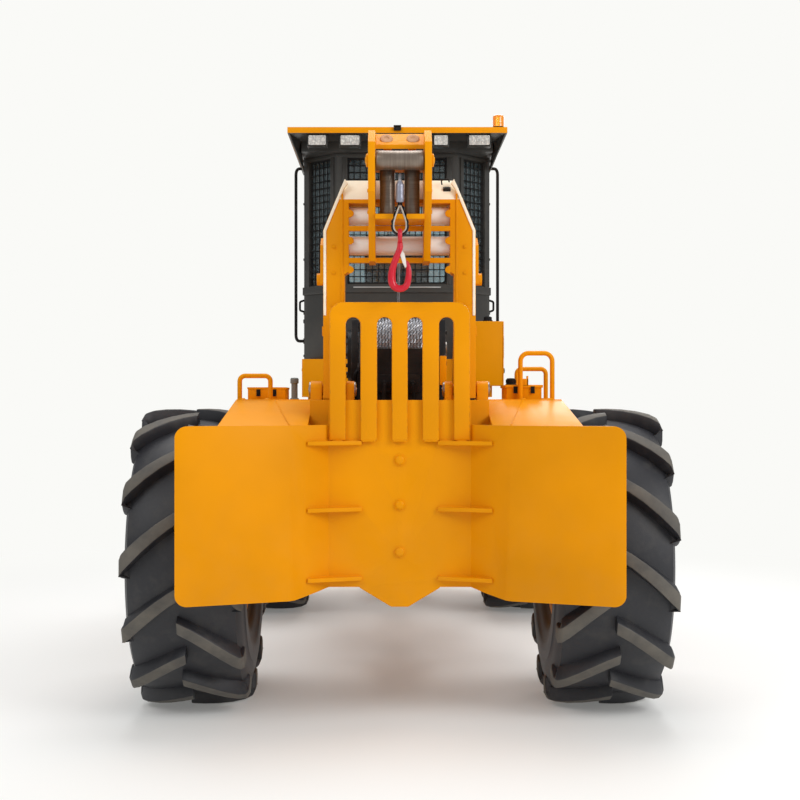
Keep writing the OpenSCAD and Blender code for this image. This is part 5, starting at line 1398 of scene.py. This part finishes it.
bmesh.ops.recalc_face_normals(frames, faces=frames.faces)
for side in (-1, 1):
    for a, b in ((-0.135, -0.107), (0.107, 0.135)):
        strip = bmesh.new()
        slab(strip, (a, b), (-0.0085, 0.0), (2.424, 3.276))
        bmesh.ops.transform(strip, matrix=corner_place[side], verts=strip.verts)
        absorb(frames, strip)
settle(frames, "cab-window-frames", "front", cab_paint, 0.003)

bare_alloy = painted("bare alloy", (0.5, 0.5, 0.49), (0.4, 0.38, 0.35), roughness=0.38, chips=0.3, dust=0.3,
                     metal=0.8)
drip = bmesh.new()
slab(drip, (-0.29, 0.29), (cab_back - 0.0145, cab_back - 0.0095), (2.404, 2.411))
settle(drip, "rear-window-drip-strip", "front", bare_alloy, 0.001)


def window_seal(bm, place, half, z, radius=0.007, bend=0.03):
    """A rubber profile round a window, in the XZ plane of its place."""
    line = [(-half + bend, 0, z[0]), (-half, 0, z[0]), (-half, 0, z[1]), (half, 0, z[1]), (half, 0, z[0]),
            (-half + bend - 0.001, 0, z[0])]
    sweep(bm, [place @ Vector(p) for p in rounded(line, bend, 5)], radius, 8)


seals = bmesh.new()
window_seal(seals, Matrix.Translation((0, cab_back + 0.016, 0)), 0.324, (2.436, 3.264))
window_seal(seals, Matrix.Translation((0, 0.852, 0)), 0.464, (2.156, 3.224))
for side in (-1, 1):
    window_seal(seals, corner_place[side] @ Matrix.Translation((0, 0.0145, 0)), 0.0985, (2.436, 3.264), 0.006,
                0.015)
settle(seals, "window-seals", "front", rubber_black)

foam = painted("foam panel", (0.09, 0.09, 0.088), (0.12, 0.12, 0.12), roughness=0.85, chips=0.1, dust=0.2,
               coat=0.0)
lining = bmesh.new()
slab(lining, (-0.36, 0.36), (-0.244, -0.232), (1.965, 2.405))
slab(lining, (-0.56, 0.56), (-0.03, 0.8), (3.284, 3.2985))
for a, b, c, d in ((-0.575, -0.205, -0.005, 0.815), (0.205, 0.575, -0.005, 0.815),
                   (-0.204, -0.151, -0.005, 0.57), (0.151, 0.204, -0.005, 0.57),
                   (-0.15, 0.15, 0.262, 0.57), (-0.42, 0.42, -0.2, -0.006)):
    slab(lining, (a, b), (c, d), (cab_floor, cab_floor + 0.0065))
settle(lining, "cab-lining", "front", foam, 0.004)
wiper = bmesh.new()
turned(wiper, (-0.1, 0.874, 2.105), (0, 1, 0),
       [(0, 0), (0, 0.018), (0.012, 0.018), (0.016, 0.01), (0.016, 0)], 20)
sweep(wiper, [(-0.1, 0.886, 2.105), (-0.16, 0.884, 2.32), (-0.2, 0.872, 2.5)], 0.005, 8)
slab(wiper, (-0.205, -0.195), (0.862, 0.872), (2.27, 2.72))
slab(wiper, (-0.2015, -0.1985), (0.8505, 0.863), (2.27, 2.72))
settle(wiper, "windscreen-wiper", "front", rubber_black, 0.0012)
cab_bolts = [((side * 0.6335, y, z), (side, 0, 0), 0.008) for side in (-1, 1) for y in (-0.035, 0.83)
             for z in (1.96, 2.25, 2.62, 3.0)]
cab_bolts += [((x, -0.3005, 1.96), (0, -1, 0), 0.008) for x in (-0.35, -0.12, 0.12, 0.35)]
bolts("cab-bolts", "front", cab_paint, cab_bolts)

# ---- cab glass ----
# Flat panes of toughened glass, tinted a little blue-green. They are clean
# but for a thin film of dust.
glass, tree, shader, spot = blank_finish("toughened glass")
film = put(tree, "TexNoise", {"Vector": spot, "Scale": 3.0, "Detail": 6.0, "Roughness": 0.7})
haze = put(tree, "MapRange",
           {"Value": film.outputs["Fac"], "From Min": 0.35, "From Max": 0.75, "To Min": 0.02, "To Max": 0.12})
tint = put(tree, "MixRGB",
           {"Fac": film.outputs["Fac"], "Color1": (0.42, 0.53, 0.57, 1), "Color2": (0.52, 0.62, 0.65, 1)})
feed(shader,
     {"Base Color": tint.outputs[0], "Roughness": haze.outputs[0], "Transmission Weight": 0.9, "IOR": 1.5})
for node in ("cab_glass", "door_glass_left", "door_glass_right"):
    nodes[node].data.materials.clear()
    nodes[node].data.materials.append(glass)

# ---- window guards ----
# Panels of round wire, welded at every crossing, guard the back windows from
# branches and broken line. Their frames bolt onto the window posts.
dressed("window_guards", rubber_black, 0.0014)

# ---- doors ----
# A pressed steel door hangs at each side. It closes on a rubber seal and has
# a handle and a lock outside and a pull inside.
for side, word in ((-1, "left"), (1, "right")):
    body = "door_" + word
    dressed(body, cab_paint, 0.004)
    fit = bmesh.new()
    place = Matrix.Translation((side * 0.612, 0.3875, 0)) @ Matrix.Rotation(math.radians(90), 4, "Z")
    window_seal(fit, place, 0.3165, (2.256, 3.118), 0.006, 0.04)
    slab(fit, (side * 0.6325, side * 0.638), (0.008, 0.058), (2.25, 2.36))
    grip = rounded([(side * 0.636, 0.03, 2.265), (side * 0.668, 0.03, 2.275), (side * 0.668, 0.03, 2.335),
                    (side * 0.636, 0.03, 2.345)], 0.014, 5)
    sweep(fit, grip, 0.0075, 10)
    turned(fit, (side * 0.637, 0.03, 2.2), (side, 0, 0),
           [(0, 0), (0, 0.014), (0.006, 0.014), (0.008, 0.01), (0.008, 0)], 20)
    pull = rounded([(side * 0.579, 0.03, 2.3), (side * 0.545, 0.03, 2.32), (side * 0.545, 0.03, 2.6),
                    (side * 0.579, 0.03, 2.62)], 0.03, 5)
    sweep(fit, pull, 0.009, 10)
    settle(fit, "door-fittings-" + word, body, rubber_black, 0.001)
    press = bmesh.new()
    slab(press, (side * 0.6325, side * 0.6365), (0.09, 0.69), (2.03, 2.19))
    settle(press, "door-pressing-" + word, body, cab_paint, 0.0018)

# ---- seat ----
# The driver's seat has foam cushions with side bolsters, sewn channels and
# piping. It stands on a sprung pedestal that a rubber bellows covers.
fabric, tree, shader, spot = blank_finish("seat fabric")
weave = [put(tree, "TexWave", {"Vector": spot, "Scale": 110.0, "Distortion": 0.4}, bands_direction=way)
         for way in "XYZ"]
cross = put(tree, "Math", {0: weave[0].outputs["Fac"], 1: weave[1].outputs["Fac"]}, operation="MULTIPLY")
cross = put(tree, "Math", {0: cross.outputs[0], 1: weave[2].outputs["Fac"]}, operation="ADD")
worn = put(tree, "TexNoise", {"Vector": spot, "Scale": 7.0, "Detail": 6.0})
cloth = put(tree, "MixRGB", {"Fac": worn.outputs["Fac"], "Color1": (0.018, 0.019, 0.022, 1),
                             "Color2": (0.065, 0.065, 0.068, 1)})
relief = put(tree, "Bump", {"Height": cross.outputs[0], "Strength": 0.35, "Distance": 0.0015})
feed(shader,
     {"Base Color": cloth.outputs[0], "Normal": relief.outputs[0], "Roughness": 0.88, "Sheen Weight": 0.3})


def stuffed(name, x, y, z, held, sewn, cap=0.024):
    """A foam cushion, blown up as cloth.

    held says which points stay flat, sewn gives the depth of the stitching and
    cap is the most that a point may move.
    """
    bm = bmesh.new()
    slab(bm, x, y, z)
    bmesh.ops.bevel(bm, geom=bm.edges[:], offset=0.028, segments=4, profile=0.5, affect="EDGES")
    mesh = bpy.data.meshes.new(name)
    bm.to_mesh(mesh)
    bm.free()
    pad = bpy.data.objects.new(name, mesh)
    scene.collection.objects.link(pad)
    remesh = pad.modifiers.new("even", "REMESH")
    remesh.mode = "VOXEL"
    remesh.voxel_size = 0.0075
    view = bpy.context.evaluated_depsgraph_get()
    even = bpy.data.meshes.new_from_object(pad.evaluated_get(view))
    pad.modifiers.clear()
    pad.data = even
    start = [v.co.copy() for v in even.vertices]
    still = pad.vertex_groups.new(name="held")
    still.add([i for i, co in enumerate(start) if held(co)], 1.0, "REPLACE")
    blown = pad.modifiers.new("blown", "CLOTH")
    blown.settings.quality = 5
    blown.settings.mass = 0.3
    blown.settings.use_pressure = True
    blown.settings.uniform_pressure_force = 4.0
    blown.settings.effector_weights.gravity = 0.0
    blown.settings.vertex_group_mass = "held"
    for frame_no in range(1, 21):
        scene.frame_set(frame_no)
    view = bpy.context.evaluated_depsgraph_get()
    swollen = bpy.data.meshes.new_from_object(pad.evaluated_get(view))
    pad.modifiers.clear()
    pad.data = swollen
    scene.frame_set(1)
    low_box = (x[0] - 0.012, y[0] - 0.012, z[0] - 0.012)
    high_box = (x[1] + 0.012, y[1] + 0.012, z[1] + 0.012)
    for vertex, was in zip(pad.data.vertices, start):
        move = vertex.co - was
        if move.length > cap:
            move *= cap / move.length
        new = was + move
        vertex.co = [min(max(new[k], low_box[k]), high_box[k]) for k in range(3)]
    bm = bmesh.new()
    bm.from_mesh(pad.data)
    for _ in range(2):
        bmesh.ops.smooth_vert(bm, verts=bm.verts[:], factor=0.5, use_axis_x=True, use_axis_y=True,
                              use_axis_z=True)
    bm.normal_update()
    for vertex in bm.verts:
        vertex.co -= vertex.normal * sewn(vertex.co, vertex.normal)
    for face in bm.faces:
        face.smooth = True
    bm.to_mesh(pad.data)
    bm.free()
    pad.data.materials.clear()
    pad.data.materials.append(fabric)
    finer = pad.modifiers.new("finer", "SUBSURF")
    finer.levels = 1
    finer.render_levels = 1
    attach(pad, "front")
    return pad


def groove(distance, depth=0.007, width=0.007):
    """The depth of a sewn channel at a distance from its middle."""
    return depth * math.exp(-(distance / width) ** 2)


def seat_stitching(co, normal):
    """Channels along the bolsters of the cushion and across its middle."""
    if normal.z < 0.3:
        return 0.0
    bolster = groove(abs(co.x) - 0.155) - 0.004 * min(1, max(0, (abs(co.x) - 0.17) / 0.03))
    across = sum(groove(co.y - y) for y in (0.0, 0.09, 0.18, 0.27)) if abs(co.x) < 0.155 else 0.0
    return max(bolster, across, key=abs)


def back_stitching(co, normal):
    """Channels along the bolsters of the backrest and across its middle."""
    if normal.y < 0.3:
        return 0.0
    bolster = groove(abs(co.x) - 0.15)
    across = sum(groove(co.z - z) for z in (2.45, 2.54, 2.63, 2.72)) if abs(co.x) < 0.15 else 0.0
    return max(bolster, across)


cushion = stuffed("seat-cushion", (-0.236, 0.236), (-0.056, 0.376), (2.236, 2.324), lambda co: co.z < 2.245,
                  seat_stitching)
stuffed("seat-backrest", (-0.226, 0.226), (-0.128, -0.052), (2.362, 2.778), lambda co: co.y < -0.118,
        back_stitching)
stuffed("seat-headrest", (-0.125, 0.125), (-0.128, -0.062), (2.828, 2.962), lambda co: co.y < -0.12,
        lambda co, normal: 0.0, 0.016)
seat_steel = bmesh.new()
slab(seat_steel, (-0.245, 0.245), (-0.066, 0.386), (2.206, 2.222))
slab(seat_steel, (-0.205, 0.205), (-0.149, -0.1425), (2.36, 2.77))
for side in (-1, 1):
    slab(seat_steel, (side * 0.244, side * 0.25), (-0.148, -0.02), (2.212, 2.42))
    sweep(seat_steel, [(side * 0.06, -0.1, 2.76), (side * 0.06, -0.1, 2.84)], 0.006, 10)
for z in (cab_floor, 2.19):
    slab(seat_steel, (-0.145, 0.145), (0.005, 0.255), (z, z + 0.014))
settle(seat_steel, "seat-frame", "front", rubber_black, 0.003)
bellows = bmesh.new()
folds = 9
rings = []
for k in range(2 * folds + 1):
    half = 0.135 if k % 2 else 0.118
    z = 1.9445 + (2.1895 - 1.9445) * k / (2 * folds)
    outline = rounded([(0, -half, 0), (half, -half, 0), (half, half, 0), (-half, half, 0), (-half, -half, 0),
                       (-0.001, -half, 0)], 0.03, 4)
    rings.append([bellows.verts.new((p[0], 0.13 + p[1] * 0.88, z)) for p in outline])
skin(bellows, rings)
bellows.faces.new(rings[0])
bellows.faces.new(rings[-1])
settle(bellows, "seat-bellows", "front", rubber_black)
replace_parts(cushion, "seat")

# ---- steering console ----
# A moulded console holds the dials, switches and levers. The steering wheel
# stands on a sloping column behind it, and two pedals are on the floor.
plastic = painted("console plastic", (0.03, 0.03, 0.031), (0.07, 0.07, 0.07), roughness=0.55, chips=0.15,
                  dust=0.4, coat=0.0)
desk = bmesh.new()
prism(desk, [(0.577, cab_floor), (0.815, cab_floor), (0.815, 2.379), (0.74, 2.379), (0.6, 2.32),
             (0.577, 2.26)], -0.2, 0.2)
bmesh.ops.recalc_face_normals(desk, faces=desk.faces)
axis = Vector((0, -math.sin(math.radians(35)), math.cos(math.radians(35))))
hub = Vector((0, 0.545, 2.56))
turned(desk, hub - axis * 0.24, axis,
       [(0, 0), (0, 0.04), (0.1, 0.028), (0.225, 0.024), (0.23, 0.036), (0.262, 0.036), (0.268, 0.028),
        (0.268, 0)], 28)
lean = axis.to_track_quat("Z", "X").to_matrix().to_4x4()
wheel_place = Matrix.Translation(hub + axis * 0.014) @ lean
sweep(desk, [wheel_place @ Vector((0.165 * math.cos(a), 0.165 * math.sin(a), 0))
             for a in (2 * math.pi * k / 48 for k in range(49))], 0.0135, 10)
for k in range(3):
    turn_at = math.radians(90 + 120 * k)
    sweep(desk, [wheel_place @ Vector((r * math.cos(turn_at), r * math.sin(turn_at), 0))
                 for r in (0.03, 0.1, 0.155)], 0.009, 8)
for x in (-0.28, 0.28):
    prism(desk, [(0.63, 1.995), (0.7, 2.075), (0.705, 2.07), (0.635, 1.99)], x - 0.04, x + 0.04)
    sweep(desk, [(x, 0.672, 2.035), (x, 0.7, 1.938)], 0.008, 8)
lever_x = 0.31
for y in (0.4, 0.48):
    sweep(desk, [(lever_x, y, 1.938), (lever_x, y, 2.4)], 0.007, 8)
    turned(desk, (lever_x, y, 2.395), (0, 0, 1),
           [(0, 0), (0, 0.012), (0.012, 0.02), (0.03, 0.02), (0.042, 0.01), (0.044, 0)], 20)
knobs = settle(desk, "steering-console-dressed", "front", plastic, 0.003)
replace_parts(knobs, "steering_console")
dial_way = Vector((0, -0.388, 0.9216))
dials = bmesh.new()
faces = bmesh.new()
for x, radius in ((-0.13, 0.032), (-0.045, 0.04), (0.045, 0.04), (0.13, 0.032)):
    at = Vector((x, 0.67, 2.3495)) + dial_way * 0.0005
    turned(dials, at, dial_way,
           [(-0.001, 0), (-0.001, radius), (0.008, radius), (0.01, radius - 0.003), (0.006, radius - 0.006),
            (0.003, 0)], 28)
    turned(faces, at, dial_way,
           [(0.0045, 0), (0.0045, radius - 0.008), (0.0065, radius - 0.009), (0.0065, 0)], 24)
for k in range(6):
    slab(dials, (-0.15 + 0.05 * k, -0.125 + 0.05 * k), (0.752, 0.79), (2.3785, 2.388))
settle(dials, "dial-bezels", "front", rubber_black, 0.001)
settle(faces, "dial-faces", "front",
       painted("dial face", (0.6, 0.6, 0.58), (0.5, 0.5, 0.5), roughness=0.3, chips=0.0, dust=0.1))

# ---- cab rails ----
# A bent tube beside each door gives a hold for climbing up. Its ends
# are welded to small feet on the corner posts.
rails = bmesh.new()
for side in (-1, 1):
    x, y = side * 0.69, -0.05
    line = [(side * 0.636, y, 3.24), (x, y, 3.24), (x, y, 2.06), (side * 0.636, y, 2.06)]
    sweep(rails, rounded(line, 0.045, 8), 0.0105, 12)
    for z in (2.06, 3.24):
        turned(rails, (side * 0.6335, y, z), (side, 0, 0),
               [(0, 0), (0, 0.02), (0.005, 0.02), (0.006, 0.0115), (0.012, 0.0105), (0.012, 0)], 20)
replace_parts(settle(rails, "cab-rails-bent", "front", rubber_black), "cab_rails")

# ---- cab roof ----
# The roof is a pressed sheet with a turned-down yellow rim. Below it, and on
# the faces of the corner panels, it is the cab's dark grey.
roof_top = 3.4045
roof = dressed("cab_roof", yellow, 0.004)
roof.data.materials.append(cab_paint)
for face in roof.data.polygons:
    below = face.normal.z < -0.25 and face.normal.y < 0.5
    if below and not (abs(face.normal.x) > 0.62 and face.normal.x * face.center.x > 0):
        face.material_index = 1
top = bmesh.new()
slab(top, (-0.58, 0.58), (-0.5, 0.84), (3.4035, 3.411))
for x in (-0.4, -0.2, 0.0, 0.2, 0.4):
    slab(top, (x - 0.018, x + 0.018), (-0.42, 0.76), (3.4105, 3.416))
settle(top, "roof-pressing", "front", yellow, 0.003)
roof_bolts = [((side * 0.64, y, roof_top), (0, 0, 1), 0.01) for side in (-1, 1)
              for y in (-0.4, 0.0, 0.4, 0.85)]
bolts("roof-bolts", "front", yellow, roof_bolts)
camera_box = bmesh.new()
slab(camera_box, (-0.024, 0.024), (-0.67, -0.6505), (3.38, 3.4))
slab(camera_box, (-0.024, 0.024), (-0.67, -0.62), (roof_top, 3.413))
turned(camera_box, (0, -0.669, 3.39), (0, -1, 0),
       [(0, 0), (0, 0.011), (0.008, 0.011), (0.008, 0.007), (0.006, 0)], 20)
settle(camera_box, "reversing-camera", "front", rubber_black, 0.002)

# ---- work lamps ----
# Four work lamps hang under the back of the roof in dark housings. Behind each
# ribbed lens there is a bright pressed reflector.
dressed("work_lamps", cab_paint, 0.006)
lens, tree, shader, spot = blank_finish("lamp lens")
cell = put(tree, "TexVoronoi", {"Vector": spot, "Scale": 55.0})
spread = put(tree, "MapRange", {"Value": cell.outputs["Distance"], "From Max": 0.7})
bright = put(tree, "MixRGB",
             {"Fac": spread.outputs[0], "Color1": (0.82, 0.8, 0.74, 1), "Color2": (0.45, 0.44, 0.42, 1)})
prisms = put(tree, "Bump", {"Height": cell.outputs["Distance"], "Strength": 0.6, "Distance": 0.003})
feed(shader,
     {"Base Color": bright.outputs[0], "Normal": prisms.outputs[0], "Roughness": 0.18, "Coat Weight": 0.8})
lenses = bmesh.new()
bezels = bmesh.new()
for x, wide in ((-0.515, 0.13), (-0.304, 0.14), (0.28, 0.105), (0.527, 0.15)):
    half = wide / 2 - 0.008
    slab(lenses, (x - half, x + half), (-0.626, -0.6195), (3.294, 3.357))
    count = int(wide / 0.012)
    for k in range(count):
        at = x - half + (k + 0.5) * 2 * half / count
        sweep(lenses, [(at, -0.626, 3.3), (at, -0.626, 3.351)], 0.0028, 8)
    bezel = [(0, 3.292), (half, 3.292), (half, 3.359), (-half, 3.359), (-half, 3.292), (-0.001, 3.292)]
    sweep(bezels, rounded([(x + a, -0.6225, z) for a, z in bezel], 0.012, 4), 0.004, 8)
settle(lenses, "lamp-lenses", "front", lens, 0.004)
settle(bezels, "lamp-bezels", "front", rubber_black)

# ---- beacon ----
# An amber flashing beacon stands on a black base at the roof's back corner.
# Its lens is ribbed plastic with a flat top.
beacon_x, beacon_y = 0.655, -0.55
dark_base = bmesh.new()
turned(dark_base, (beacon_x, beacon_y, roof_top), (0, 0, 1),
       [(0, 0), (0, 0.042), (0.006, 0.042), (0.012, 0.038), (0.0195, 0.0375), (0.0195, 0)], 36)
settle(dark_base, "beacon-base", "front", rubber_black)
amber, tree, shader, spot = blank_finish("amber lens")
dirt = put(tree, "TexNoise", {"Vector": spot, "Scale": 60.0, "Detail": 5.0})
hue = put(tree, "MixRGB",
          {"Fac": dirt.outputs["Fac"], "Color1": (0.95, 0.3, 0.005, 1), "Color2": (1.0, 0.42, 0.02, 1)})
feed(shader,
     {"Base Color": hue.outputs[0], "Roughness": 0.16, "Transmission Weight": 0.35, "Coat Weight": 0.5})
globe = bmesh.new()
profile = [(0, 0), (0, 0.036)]
for k in range(14):
    profile += [(0.004 + k * 0.0042, 0.036), (0.0061 + k * 0.0042, 0.0356)]
profile += [(0.066, 0.0358), (0.071, 0.033), (0.0745, 0.025), (0.0745, 0)]
turned(globe, (beacon_x, beacon_y, 3.4242), (0, 0, 1), profile, 40)
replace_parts(settle(globe, "beacon-lens", "front", amber), "beacon")
